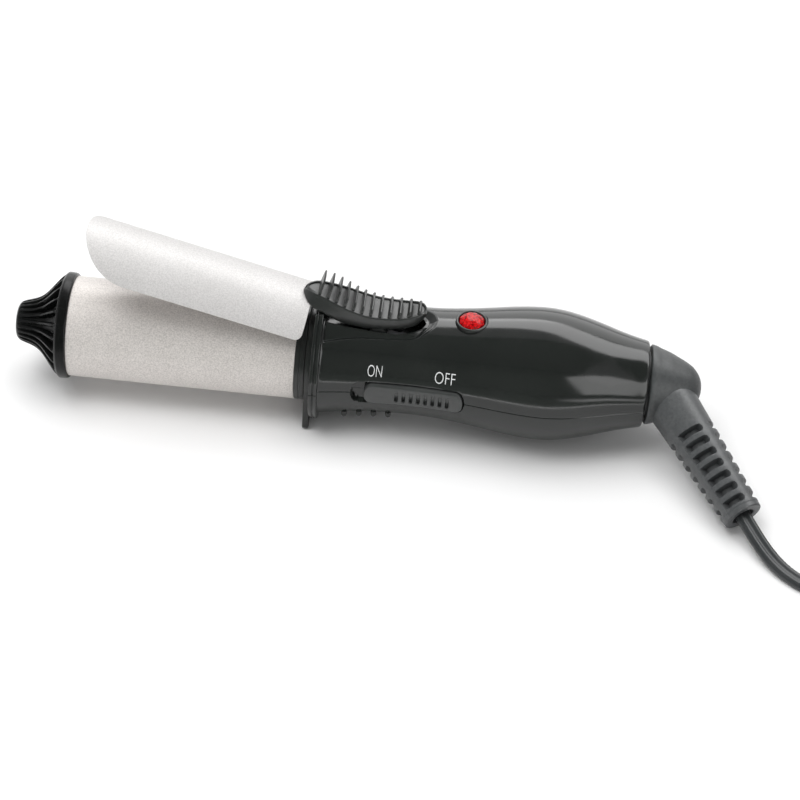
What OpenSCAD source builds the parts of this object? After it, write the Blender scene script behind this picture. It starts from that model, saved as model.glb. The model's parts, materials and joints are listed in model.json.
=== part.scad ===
// Travel curling iron: single barrel, spring clamp with a finned thumb lever,
// two-half handle with a slide switch and pilot lamp, swivel cord outlet with
// a bent strain relief, and a flat twin mains lead with its plug.
// Millimetres. +X runs from the cool tip to the cord end, -Y is the switch side,
// +Z is up. The iron lies on its stand plate and on the belly of the handle,
// so z = 0 is the table and the barrel axis is level above it.
// The clamp is drawn held open.

/* [Barrel] */
// Outer radius of the heated barrel
barrel_r = 16; // [15.8:0.05:16.05]
// Wall thickness of the barrel tube
barrel_wall = 0.8; // [0.6:0.1:1]
// Height of the barrel axis above the table
axis_z = 21.1; // [21.1:0.1:21.6]

/* [Clamp] */
// Angle at which the clamp stands open
open_deg = 14.8; // [12:0.2:14.8]
// Thickness of the clamp plate
plate_t = 0.8; // [0.6:0.1:0.8]
// Half angle that the clamp plate covers round the barrel
plate_half_deg = 57; // [50:1:60]

/* [Handle] */
// Wall thickness of the two handle shells
shell_t = 2.4; // [2.2:0.1:2.4]
// Height of the grip ribs under the handle
rib_h = 1.6; // [1:0.1:2]
// How far the slide button travels to switch on
slide_travel = 3.7; // [2.5:0.1:3.7]

/* [Lead] */
// Width of the flat twin lead
lead_w = 5.4; // [5:0.1:5.4]
// Thickness of the flat twin lead
lead_t = 2.8; // [2.6:0.1:2.8]

/* [Hidden] */
$fn = 64;
e = 0.01;

// hinge of the clamp, measured from the barrel axis
piv_x = 14.9;
piv_z = 13.5;
// stations along the axis
tip_x = -100.5;
rim_x0 = -85.5;
rim_x1 = -82.45;
barrel_x1 = -10.1;
collar_x1 = -6.8;
plate_x1 = -4.8;
flange_x1 = -2.2;
end_x = 100.5;
flange_r = 21.6;

// handle silhouette: [station, radius]
handle_pts = [[-2.2, 19.6], [0.5, 19.2], [4, 18.65], [8, 18.15], [13, 17.65], [18, 17.38],
    [23, 17.25], [28.5, 17.28], [33.5, 17.45], [38.5, 17.85], [43.5, 18.42], [48.6, 19.1],
    [53.7, 19.85], [58.8, 20.52], [63.5, 20.95], [67.5, 21.1], [71.5, 20.9], [75.6, 20.3],
    [80.5, 19.2], [85.6, 17.75], [91, 16.1], [95.8, 14.8], [99.6, 13.95]];

// Catmull-Rom interpolation of a list of points
function cr(a, b, c, d, t) = 0.5 * ((2 * b) + (c - a) * t + (2 * a - 5 * b + 4 * c - d) * t * t + (3 * b - a - 3 * c + d) * t * t * t);
function at(p, i) = p[max(0, min(len(p) - 1, i))];
function smooth(p, n) = concat([for (i = [0:len(p) - 2]) for (k = [0:n - 1]) cr(at(p, i - 1), at(p, i), at(p, i + 1), at(p, i + 2), k / n)], [p[len(p) - 1]]);
function swap(p, d) = [for (q = p) [q[1] + d, q[0]]];

handle_s = smooth(handle_pts, 2);

// a solid of revolution round the barrel axis from [radius, station] points
module rev(p) translate([0, 0, axis_z]) rotate([0, 90, 0]) rotate_extrude($fn = 96) polygon(p);
module rod(x0, x1, r) translate([x0, 0, axis_z]) rotate([0, 90, 0]) cylinder(h = x1 - x0, r = r);
module ring(x0, x1, r1, r0) difference() { rod(x0, x1, r1); rod(x0 - 1, x1 + 1, r0); }
// a box from the barrel axis frame
module bx(x0, x1, y0, y1, z0, z1) translate([x0, y0, axis_z + z0]) cube([x1 - x0, y1 - y0, z1 - z0]);
// a rounded slab whose outline lies in X and Z, and runs along Y
module slab(x0, x1, z0, z1, y0, y1, r) {
    bx(x0 + r, x1 - r, y0, y1, z0, z1);
    bx(x0, x1, y0, y1, z0 + r, z1 - r);
    for (x = [x0 + r, x1 - r]) for (z = [z0 + r, z1 - r])
        translate([x, y0, axis_z + z]) rotate([-90, 0, 0]) cylinder(h = y1 - y0, r = r, $fn = 32);
}
// turns clamp geometry, drawn closed on the barrel, up to where it stands
module opened() translate([piv_x, 0, axis_z + piv_z]) rotate([0, open_deg, 0]) translate([-piv_x, 0, -piv_z]) children();

// ---------------------------------------------------------------- handle
// the front flange, with a shallow groove round its edge, is part of the shells
flange_pts = [[0, plate_x1], [flange_r, plate_x1], [flange_r, plate_x1 + 1.1], [flange_r - 0.4, plate_x1 + 1.25],
    [flange_r - 0.4, plate_x1 + 1.4], [flange_r, plate_x1 + 1.55], [flange_r, flange_x1]];
module handle_outer(d = 0) rev(concat(flange_pts, swap(handle_s, d), [[13.3 + d, end_x], [0, end_x]]));
module flange_cuts() {
    // channel over the top for the lever, flat under the bottom
    translate([plate_x1 - 1, 0, axis_z]) rotate([90, 0, 90]) linear_extrude(height = 1 + flange_x1 - plate_x1)
        polygon([[-6.1, 13.6], [6.1, 13.6], [6.1, 20.2], [6.7, 20.8], [6.7, 40], [-6.7, 40], [-6.7, 20.8], [-6.1, 20.2]]);
    bx(plate_x1 - 1, flange_x1 + 1, -40, 40, -40, -axis_z);
}
module handle_cavity() {
    inner = [for (q = handle_s) if (q[0] > 3 && q[0] < 97) [q[1] - shell_t, q[0]]];
    rev(concat([[0, 2.5], [inner[0][0], 2.5]], inner, [[inner[len(inner) - 1][0] - 0.4, 97.5], [0, 97.5]]));
}
// outline of the recess for the lever, seen from above, grown by d
function well_half(d) = [[-8, 13.3 + d], [-2.5, 13.1 + d], [3.6, 11.2 + d], [9.7, 9.7 + d], [16, 8.95 + d], [25.2, 8.1 + d], [29.4 + d * 0.6, 6 + d * 0.8], [32.2 + d * 0.9, 3.2 + d * 0.4], [33.2 + d, 0]];
function well_line(d) = smooth(well_half(d), 3);
function well(d) = concat(well_line(d), [for (i = [len(well_line(d)) - 2:-1:0]) [well_line(d)[i][0], -well_line(d)[i][1]]]);
well_floor = 9;
well_step = 12.9;
ledge_d = 0.9;
module well_prism(d, z0) translate([0, 0, axis_z + z0]) linear_extrude(height = 30) polygon(well(d));
// slot in the ledge that the lever's skirts move in, seen from above
slot_half = [[-9, 6.1], [20, 6.1], [23, 5.6], [26, 4.4], [28.6, 2.3], [29.7, 0]];
module slot_prism(z0) translate([0, 0, axis_z + z0]) linear_extrude(height = 30) polygon(concat(slot_half, [for (i = [len(slot_half) - 2:-1:0]) [slot_half[i][0], -slot_half[i][1]]]));
module well_cut() {
    // shallow ledge inside the rim of the recess
    difference() { well_prism(0, 10); handle_outer(-ledge_d); }
    difference() { slot_prism(well_floor); bx(-20, 6.5, -30, 30, 0, 40); }
    slot_prism(well_step);
}
// block of plastic below the ledge, with the slot and the bores of the hinge pin
module well_tub() intersection() {
    union() {
        difference() { well_prism(0.8, well_floor - 1.2); bx(-20, 5.3, -30, 30, 0, 40); }
        difference() { well_prism(0.8, well_step - 1.1); bx(7, 50, -30, 30, 0, 40); bx(-20, -2, -30, 30, 0, 40); }
    }
    handle_outer(-0.6);
}
module pin_bores() translate([piv_x, -8.1, axis_z + piv_z]) rotate([-90, 0, 0]) cylinder(h = 16.2, r = 1.02);
// recess and slot of the slide button, on the parting line of the shells
module slide_recess() {
    slab(12.3 - slide_travel - 0.3, 43.8, -4.5, 4, -30, -15.6, 3.2);
    bx(30 - slide_travel - 0.4, 34.4, -20, -10, -1.3, 1.3);
}
module slide_pad() intersection() { bx(6, 46, -30, -14, -7, 7); handle_outer(-0.2); }
screw_x = [53, 77];

module upper_handle_shell() color("#1b1d1c") difference() {
    union() {
        intersection() {
            difference() { handle_outer(); handle_cavity(); }
            bx(-20, 120, -40, 40, 0, 40);
        }
        well_tub();
        intersection() { slide_pad(); bx(-20, 120, -40, 40, 0, 40); }
        for (x = screw_x) intersection() { translate([x, 0, axis_z + 0.05]) cylinder(h = 30, r = 3.3); handle_outer(-1); }
        intersection() { ring(82, 83.5, 17.2, 9); bx(80, 95, -30, 30, 0, 30); }
        intersection() { ring(91, 92.5, 14.6, 9); bx(80, 95, -30, 30, 0, 30); }
    }
    well_cut();
    pin_bores();
    flange_cuts();
    slide_recess();
    rod(-10, 6, 11.65);
    rod(90, 110, 6.06);
    rod(79.5, 94.6, 9.66);
    for (x = screw_x) translate([x, 0, axis_z - 1]) cylinder(h = 12, r = 1.35);
    // hole for the pilot lamp
    translate([43.8, 0, axis_z + 10]) cylinder(h = 20, r = 5.15);
}
module lower_handle_shell() color("#1b1d1c") difference() {
    union() {
        intersection() {
            difference() { handle_outer(); handle_cavity(); }
            bx(-20, 120, -40, 40, -40, 0);
        }
        intersection() { slide_pad(); bx(-20, 120, -40, 40, -40, 0); }
        for (x = screw_x) intersection() { translate([x, 0, axis_z - 30]) cylinder(h = 30, r = 3.9); handle_outer(-0.2); }
        intersection() { ring(82, 83.5, 17.2, 9); bx(80, 95, -30, 30, -30, 0); }
        intersection() { ring(91, 92.5, 14.6, 9); bx(80, 95, -30, 30, -30, 0); }
        // grip ribs under the front of the handle
        for (i = [0:3]) grip_rib(6.3 + 4.65 * i);
    }
    flange_cuts();
    slide_recess();
    rod(-10, 6, 11.65);
    rod(90, 110, 6.06);
    rod(79.5, 94.6, 9.66);
    for (x = screw_x) {
        translate([x, 0, axis_z - 30]) cylinder(h = 20, r = 2.8);
        translate([x, 0, axis_z - 12]) cylinder(h = 14, r = 1.5);
    }
}
module grip_rib(x) {
    r = lookup(x, handle_pts);
    // only the arc under the handle
    translate([0, 0, axis_z]) rotate([0, 90, 0]) rotate([0, 0, -48]) rotate_extrude(angle = 96, $fn = 96)
        polygon([[r - 1, x - 0.8], [r + rib_h - 0.3, x - 0.8], [r + rib_h, x - 0.5], [r + rib_h, x + 0.5], [r + rib_h - 0.3, x + 0.8], [r - 1, x + 0.8]]);
}
module shell_screws() color("#8d8f91") for (x = screw_x) {
    difference() {
        translate([x, 0, axis_z - 12]) cylinder(h = 1.9, r = 2.5);
        translate([x - 1.8, -0.3, axis_z - 13]) cube([3.6, 0.6, 1.7]);
        translate([x - 0.3, -1.8, axis_z - 13]) cube([0.6, 3.6, 1.7]);
    }
    translate([x, 0, axis_z - 10.3]) cylinder(h = 18, r = 1.3);
}
// plate between collar and flange; its flat foot and the belly carry the iron
module stand_plate() color("#151616") translate([collar_x1, 0, axis_z]) rotate([90, 0, 90]) difference() {
    union() {
        cylinder(h = 2, r = barrel_r);
        translate([-15.3, -axis_z + 2, 0]) cube([30.6, 14.4, 2]);
        translate([-13.3, -axis_z, 0]) cube([26.6, 12, 2]);
        for (s = [-1, 1]) translate([s * 13.3, -axis_z + 2, 0]) cylinder(h = 2, r = 2);
    }
    translate([0, 0, -1]) cylinder(h = 5, r = 11.65);
}

// ---------------------------------------------------------------- barrel
module barrel_collar() color("#141515") difference() {
    union() {
        rod(barrel_x1, collar_x1, barrel_r);
        rod(-15, barrel_x1 + e, barrel_r - barrel_wall - 0.05);
        rod(collar_x1 - e, 5, 11.6);
    }
    rod(-20, 10, 10);
}
module barrel_tube() color("#b9b5b1") ring(rim_x1, barrel_x1, barrel_r, barrel_r - barrel_wall);
tip_s = smooth([[-100.5, 3.2], [-100.2, 5.0], [-99.4, 6.1], [-98, 6.75], [-96, 7.35], [-94, 8.15], [-92.2, 9.4], [-90.5, 11.2], [-88.8, 13.3], [-87.2, 15.2], [-85.9, 16.4], [-85.4, 16.85]], 2);
module cool_tip() color("#141515") difference() {
    union() {
        rev(concat([[0, tip_x]], swap(tip_s, 0), [[16.85, rim_x1 - 0.3], [16.5, rim_x1], [0, rim_x1]]));
        rod(rim_x1 - e, -79.4, barrel_r - barrel_wall - 0.05);
    }
    difference() {
        rev([[0, -86], [9, -89], [12.8, -85.5], [12.8, -70], [0, -70]]);
        rod(-90, -79.4, 4.2);
    }
    rod(-90, -70, 1.35);
    // cooling grooves between the longitudinal ribs of the nose
    for (i = [0:22]) translate([0, 0, axis_z]) rotate([i * 360 / 23 + 4, 0, 0])
        translate([-88.4, 0, 16.9]) rotate([0, -52, 0]) cube([17, 1.5, 8], center = true);
}
module tip_bracket() color("#9a9c9e") difference() {
    union() { rod(-79.3, -78.1, barrel_r - barrel_wall - 0.05); }
    rod(-90, -70, 1.5);
    for (s = [-1, 1]) bx(-85, -70, s * 9 - 2, s * 9 + 2, -6, 6);
}
module tip_screw() color("#8d8f91") union() { rod(-78.1, -76.3, 2.6); rod(-88.5, -78.1 + e, 1.3); }

// two aluminium half blocks press the heating element against the barrel
module d_bar(s) intersection() {
    difference() { rod(-74, -20, barrel_r - barrel_wall - 0.05); rod(-80, -10, barrel_r - barrel_wall - 1.6); }
    bx(-80, -10, -20, 20, s > 0 ? 1.55 : -20, s > 0 ? 20 : -1.55);
}
module d_web(s) bx(-74, -20, -14.4, 14.4, s > 0 ? 1.55 : -3.35, s > 0 ? 3.35 : -1.55);
module heater_block_upper() color("#a9abad") intersection() { union() { d_bar(1); d_web(1); } rod(-80, -10, barrel_r - barrel_wall - 0.05); }
module heater_block_lower() color("#a9abad") intersection() { union() { d_bar(-1); d_web(-1); } rod(-80, -10, barrel_r - barrel_wall - 0.05); }
module ptc_heater() color("#cdbf9a") union() {
    bx(-70, -26, -9, 9, -1.5, 1.5);
    for (s = [-1, 1]) bx(-26 - e, -17, s * 5 - 1.6, s * 5 + 1.6, -0.4, 0.4);
}
module thermal_fuse() color("#c9c2ae") { rod2([-14, 5, 4.6], [-3, 5, 4.6], 1.6); rod2([-17, 5, 4.6], [-14 + e, 5, 4.6], 0.5); rod2([-3 - e, 5, 4.6], [0, 5, 4.6], 0.5); }
// a round bar between two points given from the barrel axis
module rod2(a, b, r) {
    d = b - a;
    l = norm(d);
    translate([a[0], a[1], a[2] + axis_z]) rotate([0, acos(d[2] / l), atan2(d[1], d[0])]) cylinder(h = l, r = r, $fn = 24);
}
// an insulated wire through hand-placed points
module wire(p) translate([0, 0, axis_z]) sweep(smooth(p, 2), 1.8, 1.8, 8, [0.1, 0.2, 1]);
module heater_leads() color("#b8402f") {
    wire([[-16.8, -5, -2], [-6, -5, -2.4], [4, -5, -3.4], [12, -6, -6], [21, -8.5, -7.2]]);
    wire([[0.5, 5, 4.6], [3.2, 4.4, 1], [8, 3.4, -4], [15, 1, -7.6], [24, -5, -8]]);
}
module supply_leads() color("#b8402f") {
    wire([[79.6, 5.4, 4], [70, 6.8, 5], [60, 6.8, 5.4], [51, 5.4, 5.6], [45.6, 0.5, 5.8]]);
    wire([[79.6, -5.4, -4], [70, -7.6, -5], [60, -10, -5], [50, -11, -4], [41, -10.6, -2.4]]);
}

// ---------------------------------------------------------------- hinge
module spring_anchor() color("#a3a5a7") union() {
    bx(17.5, 24.5, -3.4, 3.4, well_floor + 0.02, well_floor + 0.8);
    bx(21.2, 22.4, -3.1, -1.5, well_floor + 0.8 - e, well_floor + 1.25);
}
module hinge_pin() color("#bfc1c3") translate([piv_x, -8, axis_z + piv_z]) rotate([-90, 0, 0]) cylinder(h = 16, r = 1);

// torsion spring: leg, three and a half turns round the pin, leg
function sp_turn(a, y) = [piv_x + 2.1 * cos(a), y, piv_z + 2.1 * sin(a)];
sp_end = -90 - 180 - open_deg - 720;
sp_path = concat([[22.5, -2.3, piv_z - 2.75], [18.5, -2.3, piv_z - 2.4]],
    [for (i = [0:52]) sp_turn(-90 + (sp_end + 90) * i / 52, -2.3 + 4.6 * i / 52)],
    [[piv_x + 2.1 * sin(open_deg) + 3.5 * cos(open_deg), 2.3, piv_z + 2.1 * cos(open_deg) - 3.5 * sin(open_deg)],
     [piv_x + 2.1 * sin(open_deg) + 7 * cos(open_deg), 2.3, piv_z + 2.1 * cos(open_deg) - 7 * sin(open_deg)]]);
function unit(v) = v / norm(v);
function tan_at(p, i) = unit(at(p, i + 1) - at(p, i - 1));
// a tube of oval section swept along a path; up is the direction of its thin side
module sweep(p, w, t, n, up) {
    rings = [for (i = [0:len(p) - 1])
        let (d = tan_at(p, i), s = unit(cross(d, up)), u = cross(s, d))
        for (k = [0:n - 1]) p[i] + s * w / 2 * cos(360 * (k + 0.5) / n) + u * t / 2 * sin(360 * (k + 0.5) / n)];
    m = len(p);
    polyhedron(rings, concat([[for (k = [0:n - 1]) k]],
        [for (i = [0:m - 2]) for (k = [0:n - 1]) [i * n + k, (i + 1) * n + k, (i + 1) * n + (k + 1) % n, i * n + (k + 1) % n]],
        [[for (k = [n - 1:-1:0]) (m - 1) * n + k]]), convexity = 8);
}
module clamp_spring() color("#8f9193") translate([0, 0, axis_z]) sweep(sp_path, 0.8, 0.8, 6, [0, 1, 0.02]);

// ---------------------------------------------------------------- clamp
plate_r = barrel_r + 0.4;
plate_x0 = -80.8;
plate_rear = -8.35;
module clamp_outline() {
    // the nose is round in the flattened plate
    nose = [for (i = [-20:20]) let (q = i / 20) [plate_x0 + 15.5 * (1 - sqrt(1 - q * q)), (plate_r + plate_t / 2) * sin(plate_half_deg * q)]];
    w = (plate_r + plate_t / 2) * sin(plate_half_deg);
    polygon(concat(nose, [[plate_rear - 0.7, w], [plate_rear, w - 0.9], [plate_rear, 3.9], [23, 3.9], [23, -3.9], [plate_rear, -3.9], [plate_rear, -w + 0.9], [plate_rear - 0.7, -w]]));
}
module clamp_plate() color("#c4c0bc") opened() difference() {
    union() {
        intersection() {
            translate([-90, 0, 0]) rotate([0, 90, 0]) difference() {
                cylinder(h = 130, r = plate_r + plate_t, $fn = 96);
                translate([0, 0, -1]) cylinder(h = 140, r = plate_r, $fn = 96);
            }
            linear_extrude(height = 30) clamp_outline();
        }
        for (s = [-1, 1]) {
            translate([piv_x - 2.6, s > 0 ? 3 : -3.9, piv_z]) cube([5.2, 0.9, 2.7]);
            translate([piv_x, s > 0 ? 3 : -3.9, piv_z]) rotate([-90, 0, 0]) cylinder(h = 0.9, r = 2.6);
        }
    }
    translate([piv_x, -10, piv_z]) rotate([-90, 0, 0]) cylinder(h = 20, r = 1.07);
    for (x = [1, 20.5]) translate([x, 0, 10]) cylinder(h = 10, r = 1.05, $fn = 32);
}
// side view of the lever, closed: top line, then the skirt back to the nose
lever_top = [[-11.3, 18.8], [-10.9, 19.6], [-9.7, 20.2], [-7.5, 20.55], [-4.6, 20.6], [0.8, 20.2], [5.6, 19.8], [11, 19.85], [16.5, 21.0], [20.8, 22.5], [24.5, 24.3], [26.3, 24.9], [27.3, 24.4], [27.2, 23.4]];
lever_low = [[26, 20.9], [24.4, 19.6], [20.5, 17.8], [17.4, 16.7], [14.9, 15.9], [11, 15.0], [8, 14.5], [4, 14.2], [1, 14.4], [-2, 15.2], [-4, 15.7], [-7, 16.1], [-10.2, 16.4], [-11.1, 17.2]];
// half width of the lever seen from above
lever_half = [[-11.3, 0.5], [-10.9, 1.35], [-10, 2.3], [-8.5, 3.3], [-7, 3.85], [-5.5, 4.2], [-3.5, 4.6], [-1, 5.1], [2, 5.55], [5, 5.8], [11, 5.8], [17, 5.3], [20, 4.95], [23, 4.4], [25.5, 3.3], [27.2, 1.5]];
// half width of the nose where it flares down onto the plate
lever_foot = [[-11.3, 0.5], [-10.95, 1.3], [-10.2, 2.95], [-9.1, 4.5], [-7.6, 5.35], [-6.2, 5.65], [-3.5, 5.72], [-1, 5.75], [2, 5.78], [5, 5.8]];
function mirrored(pts) = concat(pts, [for (i = [len(pts) - 1:-1:0]) [pts[i][0], -pts[i][1]]]);
module lever_profile(d = 0) rotate([90, 0, 0]) translate([0, 0, -12]) linear_extrude(height = 24) polygon(concat([for (q = smooth(lever_top, 3)) [q[0], q[1] + d]], lever_low));
module thumb_lever() color("#34383a") opened() {
    difference() {
        intersection() {
            lever_profile();
            union() {
                linear_extrude(height = 40) polygon(mirrored(smooth(lever_half, 3)));
                hull() {
                    translate([0, 0, 13.5]) linear_extrude(height = 3.1) polygon(mirrored(smooth(lever_foot, 3)));
                    translate([0, 0, 20]) linear_extrude(height = 0.05) polygon(mirrored([for (q = smooth(lever_half, 3)) if (q[0] < 5.01) [q[0], max(q[1] - 0.02, 0.1)]]));
                }
            }
        }
        // seat of the clamp plate and room for the hinge below it
        intersection() {
            translate([-20, 0, 0]) rotate([0, 90, 0]) cylinder(h = 60, r = plate_r + plate_t + 0.02, $fn = 96);
            translate([-13, -4.5, 0]) cube([51, 9, 30]);
        }
        translate([-20, 0, 0]) rotate([0, 90, 0]) cylinder(h = 20 + plate_rear + 0.3, r = plate_r + plate_t + 0.02, $fn = 96);
        for (x = [1, 20.5]) translate([x, 0, 10]) cylinder(h = 9, r = 1.05, $fn = 32);
    }
    // bosses outside the plate's ears
    for (s = [-1, 1]) difference() {
        translate([piv_x, s > 0 ? 3.95 : -5.5, piv_z]) rotate([-90, 0, 0]) cylinder(h = 1.55, r = 2.9);
        translate([piv_x, -10, piv_z]) rotate([-90, 0, 0]) cylinder(h = 20, r = 1.07);
    }
    // transverse grip fins across the saddle, tallest at the nose
    for (i = [0:11]) lever_fin(-7.05 + 2.85 * i, fin_h[i]);
}
fin_h = [5.6, 5.2, 4.5, 3.6, 2.9, 2.4, 2.2, 1.9, 1.9, 1.9, 1.8, 1.3];
module lever_fin(x, h) {
    z = lookup(x, lever_top);
    w = lookup(x, lever_half) - 0.95;
    intersection() {
        translate([x, -w, z - 1]) cube([0.8, 2 * w, h + 1.1]);
        translate([x - 3, 0, z + h - 15.8]) rotate([0, 90, 0]) cylinder(h = 8, r = 16);
    }
}
module lever_rivets() color("#9c9ea0") opened() for (x = [1, 20.5]) {
    translate([x, 0, 15.4]) cylinder(h = 0.9, r = 1.8, $fn = 32);
    translate([x, 0, 16]) cylinder(h = 2.9, r = 1, $fn = 32);
}

// ---------------------------------------------------------------- switch
module power_slider() color("#202322") difference() {
    union() {
        intersection() { slab(12.3, 43.5, -4.2, 3.7, -30, -15.9, 2.9); handle_outer(0.7); }
        bx(30, 34, -16.5, -13.6, -1, 1);
    }
    for (i = [0:7]) bx(22.1 + 2.29 * i, 23.1 + 2.29 * i, -30, -lookup(22.6 + 2.29 * i, handle_pts) + 0.1, -6, 1.9);
}
module switch_shuttle() color("#c8c8c0") bx(29.5, 34.5, -13.6, -10.9, -1.2, 1.2);
module switch_body() color("#e2e0d6") difference() {
    bx(20, 40, -13.8, -7.2, -4.5, 4.5);
    bx(22, 38, -15, -10.5, -1.6, 1.6);
}
module lamp_bezel() color("#2a2c2c") difference() {
    union() {
        translate([43.8, 0, axis_z + 14.5]) cylinder(h = 3.2, r = 5.1);
        translate([43.8, 0, axis_z + 17.6]) cylinder(h = 1.4, r = 5.1);
    }
    translate([43.8, 0, axis_z + 10]) cylinder(h = 20, r = 4.15);
}
module lamp_lens() color("#d5121a") difference() {
    union() {
        translate([43.8, 0, axis_z + 14.5]) cylinder(h = 4.4, r = 4.1);
        intersection() {
            translate([43.8, 0, axis_z + 14.1]) sphere(r = 6.5);
            translate([43.8, 0, axis_z + 18.8]) cylinder(h = 10, r = 4.1);
        }
    }
    translate([43.8, 0, axis_z + 10]) cylinder(h = 7, r = 2.9);
}
module pilot_lamp() color("#e8b070") union() {
    translate([43.8, 0, axis_z + 9]) cylinder(h = 5.5, r = 2.2);
    translate([43.8, 0, axis_z + 14.5]) sphere(r = 2.2);
    for (s = [-1, 1]) translate([43.8 + s, 0, axis_z + 7.2]) cylinder(h = 2, r = 0.35, $fn = 24);
}

// ---------------------------------------------------------------- cord outlet
boot_o = [105.4, 0, 0];
boot_d = unit([0.541, -0.794, -0.278]);
boot_t0 = 12.6;
boot_t1 = 51.4;
module along(t) translate([boot_o[0] + boot_d[0] * t, boot_d[1] * t, axis_z + boot_d[2] * t])
    rotate([0, acos(boot_d[2]), atan2(boot_d[1], boot_d[0])]) children();
module boot_body(d = 0) {
    along(boot_t0) cylinder(h = boot_t1 - boot_t0, r1 = 8 + d, r2 = 6.3 + d);
    along(boot_t0) sphere(r = 8 + d);
}
module swivel_socket() color("#dcdad0") difference() {
    rod(80, 94.2, 9.6);
    rod(83, 96, 2.8);
    for (s = [-1, 1]) rod2([79, 5.4 * s, 4 * s], [81.5, 5.4 * s, 4 * s], 0.95);
}
module swivel_stem() color("#b9a46a") union() {
    rod(97.2 - e, 104, 6);
    rod(94.5, 97.2, 8.5);
    rod(84.5, 94.5 + e, 2.5);
}
module swivel_elbow() color("#26292a") difference() {
    rev([[0, 101.3], [12.3, 101.3], [12.75, 101.8], [12.45, 103.2], [11.8, 104.8], [10.9, 107.5], [9.7, 110.1], [8.4, 112.8], [6.9, 115.2], [4.6, 117.2], [2.2, 118.2], [0, 118.4]]);
    rod(100, 104.1, 6.05);
    boot_body(0.03);
}
module cord_boot() color("#2b2f31") difference() {
    boot_body();
    along(0) translate([0, 0, boot_t1 - 0.8]) cylinder(h = 3, r = 3.6);
    // flex slots in both faces of the strain relief
    for (i = [0:6]) along(21.4 + 4.33 * i) for (s = [-1, 1]) translate([s * 7.9, 0, 0]) cube([7, 8.2 - 0.3 * i, 2.1], center = true);
}

// the lead: out of the boot, down to the table, then round to the coil
lead_pts = [[132.6, -40.0, 7.3], [136.0, -45.2, 5.3], [139.6, -50.4, 3.5], [143.6, -55.2, 2.1], [148.6, -59.8, 1.5], [154.5, -63.2, 1.4], [162, -65.6, 1.4], [172, -66.9, 1.4], [184, -67.0, 1.4], [200, -67.0, 1.4]];
coil_c = [203, -25];
coil_r = 42;
module cord_lead() color("#2c3032") sweep(smooth(lead_pts, 3), lead_w, lead_t, 10, [0, 0, 1]);
module cord_coil() color("#2c3032") translate([coil_c[0], coil_c[1], 0]) rotate_extrude($fn = 96)
    polygon([[18.2, 0.3], [18.8, 0], [44.2, 0], [44.8, 0.3], [44.8, 5.4], [44.2, 5.8], [18.8, 5.8], [18.2, 5.4]]);
module cord_tie() color("#1c1e1f") translate([coil_c[0], coil_c[1], 0]) rotate([0, 0, 118]) difference() {
    translate([17.2, -2.5, 0]) cube([28.6, 5, 6.7]);
    translate([18.15, -4, -1]) cube([26.7, 8, 6.85]);
}
tail_pts = [[245.2, -26, 4.3], [245.6, -20, 4.4], [245.9, -13.5, 5.2], [246.1, -8, 6.4], [246.2, -3, 7]];
module cord_tail() color("#2c3032") sweep(smooth(tail_pts, 3), lead_w, lead_t, 10, [0, 0, 1]);
plug_c = [246.2, -3, 7];
module plug_body() color("#24282a") translate(plug_c) rotate([-90, 0, 0]) {
    cylinder(h = 9, r1 = 3.4, r2 = 5.2);
    translate([-8.5, -6, 8.5]) cube([17, 12, 5]);
    translate([-11.5, -7, 12]) cube([23, 14, 16]);
    for (s = [-1, 1]) translate([s * 11.5, 0, 12]) intersection() { cylinder(h = 16, r = 7, $fn = 48); translate([-1.2, -7, 0]) cube([2.4, 14, 16]); }
}
module plug_blades() color("#c9b068") for (s = [-1, 1]) translate([plug_c[0] + s * 6.35 - 0.76, plug_c[1] + 28, plug_c[2] - 3.17]) difference() {
    cube([1.52, 17, 6.35]);
    translate([-1, 11.5, 3.17]) rotate([0, 90, 0]) cylinder(h = 4, r = 1.6, $fn = 32);
}

upper_handle_shell();
lower_handle_shell();
shell_screws();
stand_plate();
barrel_collar();
barrel_tube();
cool_tip();
tip_bracket();
tip_screw();
heater_block_upper();
heater_block_lower();
ptc_heater();
thermal_fuse();
heater_leads();
spring_anchor();
hinge_pin();
clamp_spring();
clamp_plate();
thumb_lever();
lever_rivets();
power_slider();
switch_shuttle();
switch_body();
lamp_bezel();
lamp_lens();
pilot_lamp();
supply_leads();
swivel_socket();
swivel_stem();
swivel_elbow();
cord_boot();
cord_lead();
cord_coil();
cord_tie();
cord_tail();
plug_body();
plug_blades();
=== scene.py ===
import json
import math

import bmesh
import bpy
import numpy as np
from mathutils import Matrix, Vector


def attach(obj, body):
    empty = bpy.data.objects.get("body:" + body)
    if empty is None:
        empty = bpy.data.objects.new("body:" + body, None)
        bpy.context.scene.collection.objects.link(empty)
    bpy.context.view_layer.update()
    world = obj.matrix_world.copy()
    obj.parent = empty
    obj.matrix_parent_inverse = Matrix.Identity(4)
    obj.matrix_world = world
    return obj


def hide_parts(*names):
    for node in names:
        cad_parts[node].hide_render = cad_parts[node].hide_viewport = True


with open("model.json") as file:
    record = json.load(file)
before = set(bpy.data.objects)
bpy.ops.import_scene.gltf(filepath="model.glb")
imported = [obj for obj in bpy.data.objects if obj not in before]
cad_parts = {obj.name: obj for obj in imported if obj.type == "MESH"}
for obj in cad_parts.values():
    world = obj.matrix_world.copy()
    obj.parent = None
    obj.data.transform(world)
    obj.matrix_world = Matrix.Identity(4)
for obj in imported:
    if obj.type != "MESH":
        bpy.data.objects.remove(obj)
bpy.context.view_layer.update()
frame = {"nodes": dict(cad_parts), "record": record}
NODES = frame["nodes"]
AZ = 21.1  # height of the barrel axis, mm
scene = bpy.context.scene


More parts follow.
